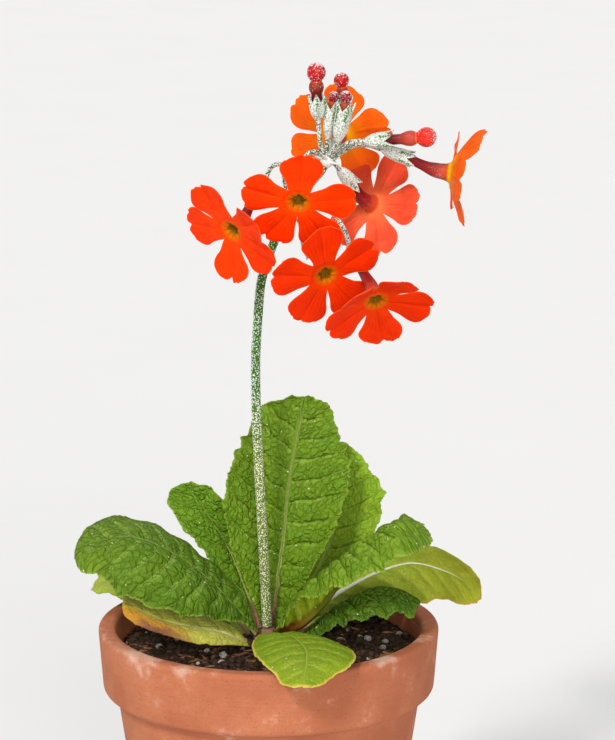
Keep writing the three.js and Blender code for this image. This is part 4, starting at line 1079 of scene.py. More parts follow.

# Flowers: the middle of the limb, the way it faces as an azimuth and an elevation, the turn
# and the lift of each lobe, with its reach where that is short, how much painted shade darkens
# it, the base of its calyx, and its stalk's route.
FLOWERS = {
    "flower_1": {
        "centre": [-9, -12, 109.5], "face": [-130, -24], "calyx": [-0.8, 2.6, 119.6],
        "lobes": [[22, 16, 13], [114, 6], [179, 0], [258, 16], [318, 2]],
        "stalk": [LOWER_WHORL, [4.6, 0.6, 119.5], [3.4, 1.2, 124.6], [1.2, 2, 124]],
    },
    "flower_2": {
        "centre": [8, -20, 118], "face": [-94, -28], "calyx": [9.2, -3.4, 126.4],
        "lobes": [[4, 0], [84, 0], [163, 0], [232, 0], [298, 0]],
        "stalk": [UPPER_WHORL, [12.6, -1.2, 128.2], [10.6, -2.2, 128]],
    },
    "flower_3": {
        "centre": [15, -20, 99.5], "face": [-70, -24], "calyx": [9.4, -4.6, 106.4], "painted_shade": 0.9,
        "lobes": [[33, 0], [105, 0], [177, 0], [249, 0], [316, 8, 13.2]],
        "stalk": [LOWER_WHORL, [7, -1.8, 113.2], [8.4, -3.2, 110]],
    },
    "flower_4": {
        "centre": [27.5, -24, 93.5], "face": [-74, -38], "calyx": [21, -4.5, 104.5], "painted_shade": 1.0,
        "lobes": [[69, 30], [141, 36], [213, 18], [285, 12], [357, 16]],
        "stalk": [LOWER_WHORL, [11, 0.4, 114.6], [16.4, -1.2, 112.6], [19.6, -3, 108.6]],
    },
    "flower_5": {
        "centre": [27.5, 12, 112.5], "face": [48, -24], "calyx": [18.4, 1.6, 123.4], "painted_shade": 0.7,
        "lobes": [[33, 8], [108, 2], [172, 4], [241, 5], [319, -1]],
        "stalk": [UPPER_WHORL, [16.8, 0.6, 125.4], [17.6, 1.1, 124.4]],
    },
    "flower_6": {
        "centre": [18.5, 23, 129.5], "face": [78, 21], "calyx": [16.6, 3.6, 126.8],
        "lobes": [[36, 8], [102, 8], [165, -2], [240, 12], [330, 2]],
        "stalk": [UPPER_WHORL, [15.8, 1.4, 126.4], [16.2, 2.4, 126.6]],
    },
    "flower_7": {
        "centre": [47.5, 1, 122.5], "face": [-4, -7], "calyx": [29.5, 0, 128.6],
        "lobes": [[26, 2], [113, 42], [179, 16], [245, 28], [330, 6]],
        "stalk": [UPPER_WHORL, [18.6, 0, 127.6], [22, 0, 129.6], [25.5, 0, 129.8]],
    },
}

# Buds: the base and the mouth of the calyx, the middle of the head, the radius of the head,
# the radius of the swelling under it, and the route of its stalk.
BUDS = {
    "bud_1": {
        "calyx": [13, -0.4, 136.4], "mouth": [12.6, -0.4, 142.6], "head": [12.5, -0.4, 148.5],
        "head_radius": 2.45, "swelling": 1.9,
        "stalk": [UPPER_WHORL, [13.8, -0.2, 129], [13.3, -0.4, 133]],
    },
    "bud_2": {
        "calyx": [19.6, 3.4, 134.5], "mouth": [19.4, 3.7, 141.2], "head": [19, 4, 146],
        "head_radius": 2, "swelling": 1.5,
        "stalk": [UPPER_WHORL, [17.4, 1.4, 129.6], [19.2, 2.8, 132]],
    },
    "bud_3": {
        "calyx": [18, -2.6, 131.2], "mouth": [19.4, -3, 138], "head": [20, -3.2, 142.5],
        "head_radius": 1.65, "swelling": 1.3,
        "stalk": [UPPER_WHORL, [16.4, -1.2, 128.2], [17.4, -2, 129.8]],
    },
    "bud_4": {
        "calyx": [15.6, 0.6, 131.6], "mouth": [16.4, 0.4, 138.2], "head": [17, 0.2, 142.2],
        "head_radius": 1.4, "swelling": 1.15,
        "stalk": [UPPER_WHORL, [15.2, 0.4, 128.6], [15.3, 0.5, 130]],
    },
    "bud_5": {
        "calyx": [25, -3.2, 131.2], "mouth": [31.8, -4, 131.7], "head": [40.5, -5, 132.5],
        "head_radius": 2.6, "swelling": 1.95,
        "stalk": [UPPER_WHORL, [17.4, -1, 128.4], [19.6, -1.8, 130], [22, -2.5, 131]],
    },
}
RIPE_HEAD = 2.5
YOUNG_HEAD = 1.8

# Bracts: the azimuth and the elevation of each pointed scale round a whorl
BRACTS = [
    {"whorl": UPPER_WHORL, "aims": [[-165, 25], [-110, 30], [-35, -8], [40, 10], [110, 15], [165, 10]]},
    {"whorl": LOWER_WHORL, "aims": [[-150, 10], [-60, 5], [20, 15], [110, 10]]},
]

# %% [markdown]
# ## Petal and tube finishes
# The limb is a strong orange-red in front, with darker veins that fan out in every lobe, an
# ochre eye with dark rays, and an olive throat. Its back is paler and more salmon, with
# yellow where it leaves the tube. The tube is dark red, and dusted.

# %% The petal effect
petal_skin, petal_in, petal_out = effect(
    "petal skin",
    {
        "Lobe": (255, 58, 0),
        "Lobe Base": (255, 66, 0),
        "Vein": (190, 18, 0),
        "Vein Share": 0.4,
        "Eye": (200, 108, 4),
        "Eye Ray": (128, 58, 4),
        "Throat": (132, 92, 10),
        "Throat Reach": 1.7,
        "Eye Reach": 2.8,
        "Eye Blur": 0.85,
        "Edge": (255, 104, 36),
    },
    ["Color", "Roughness", "Height"],
)
radius, column, row = carried(petal_skin, "petal_place")
to_edge, sector, lobe_tone_and_shade = carried(petal_skin, "petal_form")
where = place_in(petal_skin)
cloud = noise(where, 0.3, 3.0, 0.6)
wander = (noise(where, 0.35) - 0.5) * 2.4

# Veins fan out in every lobe, and finer ones join them farther out.
line = abs((column * 14.0 + wander).sum("SINE")).soft(0.0, 0.4, 1.0, 0.0)
branch = abs((column * (row * 12.0 + 22.0) + wander).sum("SINE")).soft(0.0, 0.5, 0.5, 0.0)
line = line.sum("MAXIMUM", branch * row.soft(0.35, 0.6)) * row.soft(0.02, 0.2)
line = line * row.soft(0.45, 1.0, 1.0, 0.15) * cloud.soft(0.3, 0.62, 0.25, 1.0)
stipple = noise(where, 3.2, 3.0, 0.6).soft(0.45, 0.7) * row.soft(0.0, 0.45, 0.4, 0.06)
line = line.sum("MAXIMUM", stipple)

# The lobe is duller in random clouds, in a random tone for each lobe and in the flower's painted shade,
# with painted shade along the crease in its middle.
body = row.soft(0.0, 0.5).between(petal_in["Lobe Base"], petal_in["Lobe"])
dulled_and_shaded = lobe_tone_and_shade * 0.8 + cloud.soft(0.35, 0.75, -0.15, 0.5)
body = dulled_and_shaded.between(body, body.tinted((0.8, 0.66, 0.66, 1)))
body = (line * petal_in["Vein Share"]).between(body, petal_in["Vein"])
# Painted shade along the crease in the middle of the lobe.
middle = abs(column).soft(0.0, 0.07, 1.0, 0.0) * row.soft(0.0, 0.9, 0.6, 0.1) * lobe_tone_and_shade
body = middle.between(body, petal_in["Vein"])
body = to_edge.soft(0.0, 0.35, 0.6, 0.0).between(body, petal_in["Edge"])

# The eye with two rays to a lobe, and the throat
in_eye = (petal_in["Eye Reach"] + wander * 0.12 - radius) / petal_in["Eye Blur"]
body = in_eye.soft(-1.0, 1.0, 0.0, 0.92).between(body, petal_in["Eye"])
ray = (sector * (4 * math.pi)).sum("COSINE").soft(0.45, 0.95) * radius.soft(1.6, 3.4, 1.0, 0.0)
body = (ray * 0.6).between(body, petal_in["Eye Ray"])
body = (petal_in["Throat Reach"] - radius).soft(-0.2, 0.3).between(body, petal_in["Throat"])
feed(petal_out["Color"], body)
feed(petal_out["Roughness"], cloud * 0.25 + 0.38)
feed(petal_out["Height"], noise(where, 7.0) * 0.04 - line * 0.06)
print("effect", petal_skin.name)

# %% Petal finishes
PETAL_TISSUE = {"specular": 0.05, "soft": 0.06, "reach": 0.0005}
PETAL_SKINS = {
    "petal face": {},
    "petal back": {
        "Lobe": (244, 90, 56), "Lobe Base": (248, 112, 66), "Vein": (214, 58, 36), "Vein Share": 0.4,
        "Eye": (246, 124, 66), "Eye Ray": (220, 104, 34), "Eye Reach": 3.0, "Eye Blur": 1.4,
        "Throat": (208, 70, 38), "Throat Reach": 2.1,
    },
    "petal back with light through it": {
        "Lobe": (255, 104, 16), "Lobe Base": (250, 132, 14), "Vein": (238, 78, 8), "Vein Share": 0.45,
        "Eye": (250, 190, 20), "Eye Ray": (232, 150, 16), "Eye Reach": 3.5, "Eye Blur": 1.8,
        "Throat": (196, 82, 46), "Throat Reach": 2.0,
    },
}
petal_face, petal_back, petal_glow = (
    skinned(name, petal_skin, looks, **PETAL_TISSUE) for name, looks in PETAL_SKINS.items()
)

anther_finish, tree, shader = finish("anther", roughness=0.7, specular=0.2)
paint(shader, noise(place_in(tree), 3.0).between((104, 60, 6), (178, 122, 36)))
print("finishes", petal_face.name, petal_back.name, petal_glow.name, anther_finish.name)


# %% Tube and bud finishes
def tube_skin(name, mouth_tone, most_dust):
    """A tube, darkest at its foot, with five pale stripes and dust towards its mouth."""
    material, tree, shader = finish(name, roughness=0.5, specular=0.15, soft=0.06, reach=0.0005)
    up_tube, pale_stripe, _ = carried(tree, "tube_place")
    body = up_tube.soft(0.35, 1.0).between((124, 12, 18), mouth_tone)
    body = (noise(place_in(tree), 0.9, 3.0) * 0.5).between(body, (112, 14, 24))
    # Lighter towards the mouth: a painted highlight.
    body = up_tube.soft(0.7, 0.97, 0.0, 0.75).between(body, (208, 80, 48))
    body = (pale_stripe * 0.16).between(body, (190, 70, 60))
    dust = use(tree, meal, Amount=up_tube.soft(0.3, 0.9, 0.0, most_dust), Grain=3.4, Patches=0.5)
    body = (dust["Mask"] * 0.6).between(body, (232, 176, 176))
    paint(shader, body, dust["Height"], 0.08)
    return material


def bud_skin(name, head_tone, swelling_tone, joint_share, dust_share):
    """A bud of one age: dark neck, duller swelling, bright head, painted shade in the seams of its head,
    and meal, with more of it where the bud turns from the viewer, a painted sheen.
    """
    material, tree, shader = finish(name, roughness=0.4, specular=0.22, soft=0.06, reach=0.0005)
    up_bud, in_head, seam_shade = carried(tree, "bud_place")
    body = up_bud.soft(0.2, 0.5).between((100, 8, 16), swelling_tone)
    body = in_head.between(body, head_tone)
    # Darker in the seams of the head: painted shade.
    body = (seam_shade * 0.7).between(body, (120, 8, 12))
    joint = in_head.soft(0.02, 0.4) * in_head.soft(0.45, 0.9, joint_share, 0.0)
    body = joint.between(body, (240, 120, 40))
    # More meal where the bud turns away from the viewer: a painted sheen.
    amount = sideways(tree, 0.4) * 0.4 + dust_share + up_bud.soft(0.86, 1.0, 0.0, 0.3)
    amount = amount + up_bud.soft(0.15, 0.35, -0.3, 0.0) + in_head.soft(0.0, 1.0, -0.12, 0.0)
    dust = use(tree, meal, Amount=amount, Grain=2.2, Patches=0.6)
    body = (dust["Mask"] * 0.85).between(body, (246, 222, 222))
    paint(shader, body, dust["Height"], 0.12)
    return material


tube_finish = tube_skin("flower tube", (164, 32, 22), 0.22)
lit_tube = tube_skin("flower tube in the light", (176, 60, 38), 0.32)
bud_finish = bud_skin("bud", (186, 22, 18), (146, 50, 24), 0.35, 0.22)
young_bud = bud_skin("young bud", (142, 26, 34), (160, 66, 32), 0.3, 0.24)
ripe_bud = bud_skin("bud about to open", (232, 46, 28), (186, 66, 50), 0.9, 0.08)
print("finishes", tube_finish.name, lit_tube.name, bud_finish.name, young_bud.name, ripe_bud.name)

# %% [markdown]
# ## The limbs
# A limb is one surface: it rises out of the throat, crosses the eye and spreads into five
# lobes, each notched like a heart. A grid for each lobe starts deep in the throat and runs to
# the edge, and the grids are welded where they meet. The notch, the crease along the middle
# and the small waves are written as rules with a different draw for every lobe.

# %% Limb sizes
LOBE_REACH = 14.6
EYE_RADIUS = 4.1
LOBE_HALF_WIDTH = 6
LOBE_NOTCH = 0.095
NOTCH_HALF_WIDTH = 0.3
CREASE_HALF_WIDTH = 0.1
CUPPING = 0.7
DROOP = 0.5
PETAL_HALF_THICKNESS = 0.16
PETAL_EDGE_HALF_THICKNESS = 0.07
LOBE_ROWS = 30
LOBE_COLUMNS = 41
LOBE_ACROSS = np.linspace(1, -1, LOBE_COLUMNS)[None, :]
LOBE_OUTWARD = np.linspace(0, 1, LOBE_ROWS)[:, None]
WIDTH_PLACES = [0, 0.25, 0.5, 0.7, 0.85, 1]
WIDTHS = [0.402, 0.63, 0.85, 0.93, 0.9, 0.74]

# The throat's inner and outer wall: radius, and height above the limb
THROAT_INSIDE = [(0.05, -2.3), (0.8, -2.2), (1.2, -1.9), (1.4, -1.5), (1.56, -1.1), (1.72, -0.75),
    (1.92, -0.5), (2.2, -0.34), (2.5, -0.2), (2.85, -0.1), (3.3, -0.03), (3.75, 0)]
THROAT_OUTSIDE = [(1.85, -3.2), (1.95, -2.9), (2.03, -2.6), (2.09, -2.3), (2.14, -2.0), (2.24, -1.6),
    (2.4, -1.2), (2.62, -0.85), (2.85, -0.62), (3.1, -0.46), (3.4, -0.38), (3.75, -0.33)]
THROAT_FOLDS = 0.13
FOLD_RADIUS = 1.7
FOLD_HALF_WIDTH = 0.45
EDGE_FAR_AWAY = 3.0


# %% One lobe
def lobe_shape(aim, before, beyond, lift, reach, seed):
    """The grid of a lobe, seen from the front, from the eye outwards."""
    columns = LOBE_ACROSS
    rows = LOBE_OUTWARD[1:]
    lean = 0.14 * (scatter(seed, 1, 3) - 0.5)
    notch_at = 0.3 * (scatter(seed, 2, 3) - 0.5)
    depth = LOBE_NOTCH * (0.35 + 1.1 * scatter(seed, 3, 3))
    off_notch = np.abs(columns - notch_at)
    shoulder = np.clip(off_notch / NOTCH_HALF_WIDTH, 0, 1)
    end = 1 - depth * (1 - np.sin(shoulder * math.pi / 2) ** 1.1)
    end = end - 0.17 * np.clip((off_notch - 0.2) / 0.8, 0, 1) ** 2
    end = end + 0.014 * ripple(columns * 4.2, seed + 0 * columns, seed) + lean * columns * 0.4
    end = end - 0.02 * (scatter(np.round(columns * 5), seed, 5) > 0.75) * (off_notch > 0.2)
    full = 1 + (end - 1) * smooth_step(rows, 0.15, 0.75)
    width = through(rows, WIDTH_PLACES, WIDTHS) * (1 + 0.05 * (scatter(seed, 4, 3) - 0.5))
    run = (reach - EYE_RADIUS) * rows * full
    rise = math.radians(lift)
    out = EYE_RADIUS + run * math.cos(rise)
    aside = columns * LOBE_HALF_WIDTH * width + 0.35 * lean * run
    up = run * math.sin(rise) + CUPPING * columns**2 * rows - DROOP * rows
    up = up - 0.35 * scatter(seed, 6, 3) * hump(columns, CREASE_HALF_WIDTH) * smooth_step(rows, 0, 0.3)
    up = up + 0.3 * np.sin(math.pi * np.abs(columns)) * rows
    up = up + 0.3 * ripple(columns * 1.9, rows * 2.6, seed + 1) * rows
    up = up + 0.24 * np.sin(7 * rows + 2 * seed) * columns**2 * rows
    turn = before + (beyond - before) * (columns + 1) / 2
    round_x = EYE_RADIUS * np.cos(turn - aim) - EYE_RADIUS
    round_y = EYE_RADIUS * np.sin(turn - aim) - columns * LOBE_HALF_WIDTH * WIDTHS[0]
    ease = 1 - smooth_step(rows, 0, 0.32)
    out = out + round_x * ease
    aside = aside + round_y * ease
    x = out * math.cos(aim) - aside * math.sin(aim)
    y = out * math.sin(aim) + aside * math.cos(aim)
    return np.stack([x, y, up + 0 * x], axis=-1), turn


def throat_rings(profile, turn, folds):
    """The part of a limb inside its eye, as a grid in one lobe's sector."""
    grid = []
    for radius, height in profile:
        near = folds * hump(radius - FOLD_RADIUS, FOLD_HALF_WIDTH)
        wide = radius * (1 + near * np.cos(math.pi * LOBE_ACROSS))
        grid.append(ring_at(wide, height + near * np.cos(10 * turn), turn)[0])
    return np.array(grid)


# %% Anthers
ANTHER_ROUND = 0.22


def add_anthers(shells, aims, turned, centre):
    """A small upright anther in the throat before each lobe."""
    rise = np.linspace(-1, 1, 9)
    centres = np.stack([0.95 + 0.12 * rise, 0 * rise, -1.8 + 0.5 * rise], axis=-1)
    anther = stalk_rings(centres, ANTHER_ROUND * np.sqrt(np.maximum(1 - rise**2, 0.01)), 10)
    for aim in aims:
        across = [[math.cos(aim), math.sin(aim), 0], [-math.sin(aim), math.cos(aim), 0], [0, 0, 1]]
        placed = anther @ np.array(across) @ turned + centre
        rings_shell(shells, placed, finish=2, petal_place=np.zeros(3), petal_form=np.zeros(3))


# %% A whole limb
def make_limb(name, flower, seed):
    """The face, back and throat of one open flower."""
    lobes = flower["lobes"]
    aims = [math.radians(lobe[0]) for lobe in lobes]
    face = direction(*flower["face"])
    level = unit(np.cross([0, 0, 1], face))
    turned = np.array([level, np.cross(face, level), face])
    centre = np.array(flower["centre"]) + CROWN
    back = petal_glow if flower["face"][0] > -30 and flower["face"][1] > -20 else petal_back
    inner = len(THROAT_INSIDE)
    shells = Shells()
    for number, lobe in enumerate(lobes):
        behind = aims[number - 1] - (2 * math.pi if number == 0 else 0)
        ahead = aims[(number + 1) % len(lobes)] + (2 * math.pi if number == len(lobes) - 1 else 0)
        before = (behind + aims[number]) / 2
        beyond = (aims[number] + ahead) / 2
        reach = lobe[2] if len(lobe) > 2 else LOBE_REACH
        outer, turn = lobe_shape(aims[number], before, beyond, lobe[1], reach, seed * 7 + number)
        petal = np.concatenate([ring_at(EYE_RADIUS, 0, turn), outer])
        breadth = LOBE_HALF_WIDTH * through(LOBE_OUTWARD, WIDTH_PLACES, WIDTHS)
        to_side = (1 - np.abs(LOBE_ACROSS)) * breadth + 2 * (1 - smooth_step(LOBE_OUTWARD, 0, 0.15))
        to_edge = np.minimum(to_side, (1 - LOBE_OUTWARD) * (reach - EYE_RADIUS))
        half = smooth_step(to_edge, 0, 1, PETAL_EDGE_HALF_THICKNESS, PETAL_HALF_THICKNESS)
        lift = sheet_normals(petal) * half[..., None]
        upper = np.concatenate([throat_rings(THROAT_INSIDE, turn, THROAT_FOLDS), petal + lift])
        lower = np.concatenate([throat_rings(THROAT_OUTSIDE, turn, 0.0), petal - lift])
        from_middle = np.linalg.norm(upper[..., :2], axis=-1)
        from_middle[:inner] = np.array(THROAT_INSIDE)[:, :1]
        outward = np.concatenate([np.zeros((inner, 1)), LOBE_OUTWARD])
        to_edge = np.concatenate([np.full((inner, LOBE_COLUMNS), EDGE_FAR_AWAY), to_edge])
        # The flower's painted shade, with a random tone for each lobe.
        tone = flower.get("painted_shade", 0) + 0.4 * scatter(seed, number, 8)
        blade_shell(
            shells,
            (upper @ turned) + centre,
            (lower @ turned) + centre,
            joined=inner,
            petal_place=carry(upper, from_middle, LOBE_ACROSS, outward),
            petal_form=carry(upper, to_edge, LOBE_ACROSS / 2, tone),
        )
    add_anthers(shells, aims, turned, centre)
    finishes = [petal_face, back, anther_finish]
    made = shells.piece(f"{name}_petals", finishes, "petal", [f"{name}_limb"], crease=60, weld=0.004)
    print(name, "limb faces", len(made.data.polygons))


# %% [markdown]
# ## The tubes
# A tube leaves its calyx, curves until it points the way the flower faces, and widens under
# the limb where the anthers sit. It is drawn as rings along a curve, with five shallow ribs.

# %% Tube sizes
CALYX_LENGTH = 9
CALYX_RADIUS = 1.85
CALYX_MOUTH_RADIUS = 1.5
TUBE_END_DEPTH = 2.61
TUBE_FOOT_RADIUS = 1.1
TUBE_MOUTH_RADIUS = 2.05
TUBE_SHARES = [0.1, 0.1, 0.14, 0.34, 0.78, 1]
TUBE_SIDES = 36

# Rings at the end of the tube, and back down inside it: how far on, and the radius
TUBE_LIP = [(0.4, 2.07), (0.8, 2.1), (1.1, 2.12)]
TUBE_INSIDE = [(1.1, 1.9), (0.5, 1.7), (-0.2, 1.5), (-1.2, 1.3)]


# %% A tube
def make_tube(name, flower):
    """The tube of one flower, from inside its calyx to under its limb."""
    base = np.array(flower["calyx"], float)
    centre = np.array(flower["centre"], float)
    face = direction(*flower["face"])
    axis = unit(centre - base)
    start = base + axis * 0.6 * CALYX_LENGTH
    end = centre - face * TUBE_END_DEPTH
    handle = np.linalg.norm(end - start) / 3
    leave = start + axis * handle
    arrive = end - face * handle
    t = np.linspace(0, 1, 40)[:, None]
    route = (1 - t) ** 3 * start + 3 * t * (1 - t) ** 2 * leave + 3 * t**2 * (1 - t) * arrive + t**3 * end
    run = length_along(route)
    up = run / run[-1]
    share = through(up, np.linspace(0, 1, len(TUBE_SHARES)), TUBE_SHARES)
    radii = TUBE_FOOT_RADIUS + (TUBE_MOUTH_RADIUS - TUBE_FOOT_RADIUS) * share
    radii = np.concatenate([radii, [radius for _, radius in TUBE_LIP]])
    route = np.vstack([route, [end + face * step for step, _ in TUBE_LIP]])
    turn = around(TUBE_SIDES)
    outside = stalk_rings(route, radii[:, None] * (1 + 0.035 * np.cos(5 * turn)), TUBE_SIDES)
    first, second = steady_frames(route)
    out = first[-1][None] * np.cos(turn)[:, None] + second[-1][None] * np.sin(turn)[:, None]
    inside = np.array([end + face * step + out * radius for step, radius in TUBE_INSIDE])
    rings = np.concatenate([outside, inside])
    up = np.concatenate([up * 0.92, [0.95, 0.98, 1], np.ones(len(TUBE_INSIDE))])
    shells = Shells()
    stripe = 0.5 + 0.5 * np.cos(5 * turn)
    rings_shell(shells, rings + CROWN, tube_place=carry(rings, up[:, None], stripe, 0))
    skin = lit_tube if name == "flower_7" else tube_finish
    shells.piece(f"{name}_corolla_tube", [skin], "tube", [f"{name}_tube"])


for number, (name, flower) in enumerate(FLOWERS.items()):
    make_limb(name, flower, number + 1)
    make_tube(name, flower)
print("open flowers", len(FLOWERS))

# %% [markdown]
# ## The mealy stem
# The stem, the flower stalks, the bracts and the calyces grow together, and meal covers them.
# Green shows between the grains on the stem and in stripes on the calyces. The mesh carries
# how much meal lies at each point and where the green stripes are.

# %% The mealy finish
STEM_CHANGE_LOW = 128
STEM_CHANGE_HIGH = 154

# The second carried number is 0 on a stalk, this on a plain calyx and 1 in a green stripe.
PLAIN_STRIPE = 0.25

mealy_finish, tree, shader = finish("mealy green", roughness=0.75, specular=0.2, soft=0.05, reach=0.0004)
amount, stripe, on_stem = carried(tree, "meal_place")
where = place_in(tree)
high = on_stem * where.parts()[2].soft(STEM_CHANGE_LOW, STEM_CHANGE_HIGH)
fuzzy = noise(where, 1.1, 3.0, 0.6)
green = fuzzy.between((72, 84, 58), (112, 126, 94))
thin_meal = fuzzy.between((142, 156, 134), (184, 196, 178))
green = stripe.soft(0.0, PLAIN_STRIPE).between(green, thin_meal)
green = stripe.soft(PLAIN_STRIPE, 0.9).between(green, (78, 122, 64))
green = on_stem.between(green, fuzzy.between((80, 96, 28), (116, 134, 56)))
green = high.between(green, fuzzy.between((38, 86, 4), (66, 116, 16)))
# Whiter where the surface turns from the viewer, a painted sheen, and on the left side of the upper stem,
# painted light.
lit_from_left = Value(put(tree, "NewGeometry").outputs["Normal"]).parts()[0].soft(-0.98, -0.7, 0.24, 0.0)
amount = amount + sideways(tree, 0.3) * 0.22 + lit_from_left * high
dust = use(tree, meal, Amount=amount, Grain=2.6, Patches=0.5, Unevenness=0.25)
white = fuzzy.between((206, 216, 204), (244, 247, 240))
white = (on_stem - high).between(white, (236, 238, 200))
paint(shader, dust["Mask"].between(green, white), dust["Height"], 0.1)
print("finish", mealy_finish.name)

# %% Stem sizes
STEM_FOOT_RADIUS = 1.3
STEM_TOP_RADIUS = 1.1
PEDICEL_RADIUS = 0.6
BRACT_LENGTH = 4.6
CALYX_TEETH = 5
TOOTH_LENGTH = 2.6
KNOT_RADIUS = 1.7
CALYX_PLACES = [0, 0.08, 0.2, 0.4, 0.58, 0.75, 1.0]
CALYX_WIDTHS = [0.4, 0.6, 0.82, 0.96, 1.02, 1.0, 1.0]

# How much meal lies on each part, from 0 to 1. The stem's is given from its foot to its top.
STEM_MEAL = [0.42, 0.43, 0.41, 0.37, 0.35, 0.35, 0.37, 0.4, 0.44]
STALK_MEAL = [0.44, 0.48, 0.58]
KNOT_MEAL = 0.95
BRACT_MEAL = 0.85
CALYX_MEAL = 0.66
BUD_CALYX_MEAL = 0.6
CALYX_INSIDE_MEAL = 0.5


# %% Stalks and bracts
def add_stalk(shells, route, radii, amount, sides=20, ring_gap=0.45, on_stem=0.0):
    """A round stalk along a smooth route, with meal on it."""
    run = length_along(curve_at(route, np.linspace(0, 1, 60)))[-1]
    places = np.linspace(0, 1, max(8, int(run / ring_gap)))
    radius = np.interp(places, np.linspace(0, 1, len(radii)), radii)
    lumps = 1 + 0.03 * ripple(places * run, 0, radii[0] * 9)
    rings = stalk_rings(curve_at(route, places), radius * lumps, sides)
    amount = np.interp(places, np.linspace(0, 1, len(amount)), amount)
    rings_shell(shells, rings + CROWN, meal_place=carry(rings, amount[:, None], 0, on_stem))


def add_bract(shells, start, aim, seed, sides=14):
    """A narrow pointed scale, bent a little at its tip."""
    places = np.linspace(0, 1, 16)
    droop = np.array([0, 0, -0.5 + scatter(seed, 1, 2)])
    centres = start + np.outer(places, aim) * BRACT_LENGTH + np.outer(places**2, droop)
    turn = around(sides)
    wide = 0.95 * (1 - places**1.6) + 0.05
    thick = 0.5 * (1 - places**1.3) + 0.05
    radii = 1 / np.sqrt((np.cos(turn) / wide[:, None]) ** 2 + (np.sin(turn) / thick[:, None]) ** 2)
    rings = stalk_rings(centres, radii, sides)
    green = (0.5 * (1 - places))[:, None]
    rings_shell(shells, rings + CROWN, meal_place=carry(rings, BRACT_MEAL, green, 0))


# %% A calyx
def add_calyx(shells, base, axis, length, radius, meal_share, seed, sides=60):
    """A ribbed cup with five pointed teeth, hollow at the top."""
    turn = around(sides)
    wave = 1 - np.abs((turn * CALYX_TEETH / (2 * math.pi)) % 1 * 2 - 1)
    tooth = (1 - wave) ** 1.1 * (0.85 + 0.15 * np.cos(turn * 2 + seed))
    cut = TOOTH_LENGTH / length
    low = 1 - cut
    tip = low + cut * tooth
    side = unit(np.cross([0, 0, 1], axis))
    other = np.cross(axis, side)
    out = side[None] * np.cos(turn)[:, None] + other[None] * np.sin(turn)[:, None]
    ribs = 0.05 * np.cos(turn * CALYX_TEETH) + 0.02 * np.cos(turn * 3 * CALYX_TEETH)
    rings = []
    values = []

    def ring(height, inside):
        """One ring at a share of the length, outside or inside the wall."""
        flare = 0.2 * smooth_step(height, 0.6, 1.0)
        wide = through(height, CALYX_PLACES, CALYX_WIDTHS) + flare + ribs * smooth_step(height, 0.1, 0.4)
        reach = 0.42 * (1 - smooth_step(height, low, 0.98))
        green = (1 - smooth_step(wave, 0.5 * reach, reach + 0.06)) * smooth_step(height, 0.25, 0.6)
        amount = meal_share - 0.2 * green
        if inside:
            wide = np.minimum(wide - 0.12, CALYX_MOUTH_RADIUS / CALYX_RADIUS + flare)
            green = 0.8 + 0 * turn
            amount = CALYX_INSIDE_MEAL + 0 * turn
        rings.append(base + axis * (height * length)[:, None] + out * (wide * radius)[:, None])
        stripe = PLAIN_STRIPE + (1 - PLAIN_STRIPE) * green
        values.append(np.stack([amount, stripe, 0 * turn], axis=-1))

    for row in np.linspace(0, 1, 22):
        ring(np.where(row < 0.7, row / 0.7 * low, low + (tip - low) * (row - 0.7) / 0.3), False)
    for row in np.linspace(1, 0, 9):
        ring(0.5 + (tip - 0.5) * row, True)
    rings_shell(shells, np.array(rings) + CROWN, meal_place=np.array(values))


def bud_breadth(bud):
    """The radius that a bud of this size fills in its calyx."""
    return min(CALYX_RADIUS, 0.8 * bud["head_radius"] + 0.25)


# %% The whole stem
def add_knot(shells, whorl, sides=24):
    """The swelling of the stem where a whorl leaves it."""
    ups = np.linspace(-1, 1, 14)
    centres = whorl + np.outer(ups, [0.55, 0, 0.85]) * KNOT_RADIUS
    rings = stalk_rings(centres, KNOT_RADIUS * np.sqrt(np.maximum(1 - ups**2, 0.02)), sides)
    rings_shell(shells, rings + CROWN, meal_place=carry(rings, KNOT_MEAL, 0, 0))


def make_stem():
    """The stem with its whorls, stalks, bracts and calyces."""
    shells = Shells()
    add_stalk(shells, STEM_ROUTE, [STEM_FOOT_RADIUS, STEM_TOP_RADIUS], STEM_MEAL, 32, 0.5, on_stem=1.0)
    for number, bracts in enumerate(BRACTS):
        whorl = np.array(bracts["whorl"], float)
        add_knot(shells, whorl)
        for place, aim in enumerate(bracts["aims"]):
            add_bract(shells, whorl, direction(*aim), place + 10 * number)
    sprays = []
    for flower in FLOWERS.values():
        base = np.array(flower["calyx"], float)
        axis = unit(np.array(flower["centre"]) - base)
        sprays.append((base, axis, flower["stalk"], CALYX_LENGTH, CALYX_RADIUS, CALYX_MEAL))
    for bud in BUDS.values():
        base = np.array(bud["calyx"], float)
        reach = np.array(bud["mouth"]) - base
        young = bud["head_radius"] < YOUNG_HEAD
        length = np.linalg.norm(reach) / (0.66 if young else 0.9)
        wide = bud_breadth(bud) + 0.2 + 0.3 * young
        sprays.append((base, unit(reach), bud["stalk"], length, wide, BUD_CALYX_MEAL))
    for number, (base, axis, route, *cup) in enumerate(sprays):
        add_stalk(shells, [*route, base + axis * 0.8], [PEDICEL_RADIUS] * 2, STALK_MEAL)
        add_calyx(shells, base, axis, *cup, number)
    made = shells.piece("mealy_stem", [mealy_finish], "scape", ["scape"])
    print("stem faces", len(made.data.polygons), "stalks", len(sprays))


make_stem()

# %% [markdown]
# ## The buds
# A bud is a short neck, a swelling, and a round head where the folded limb waits. The head
# shows five seams that twist like a closed umbrella.

# %% Buds
BUD_RINGS = 56
BUD_SIDES = 40


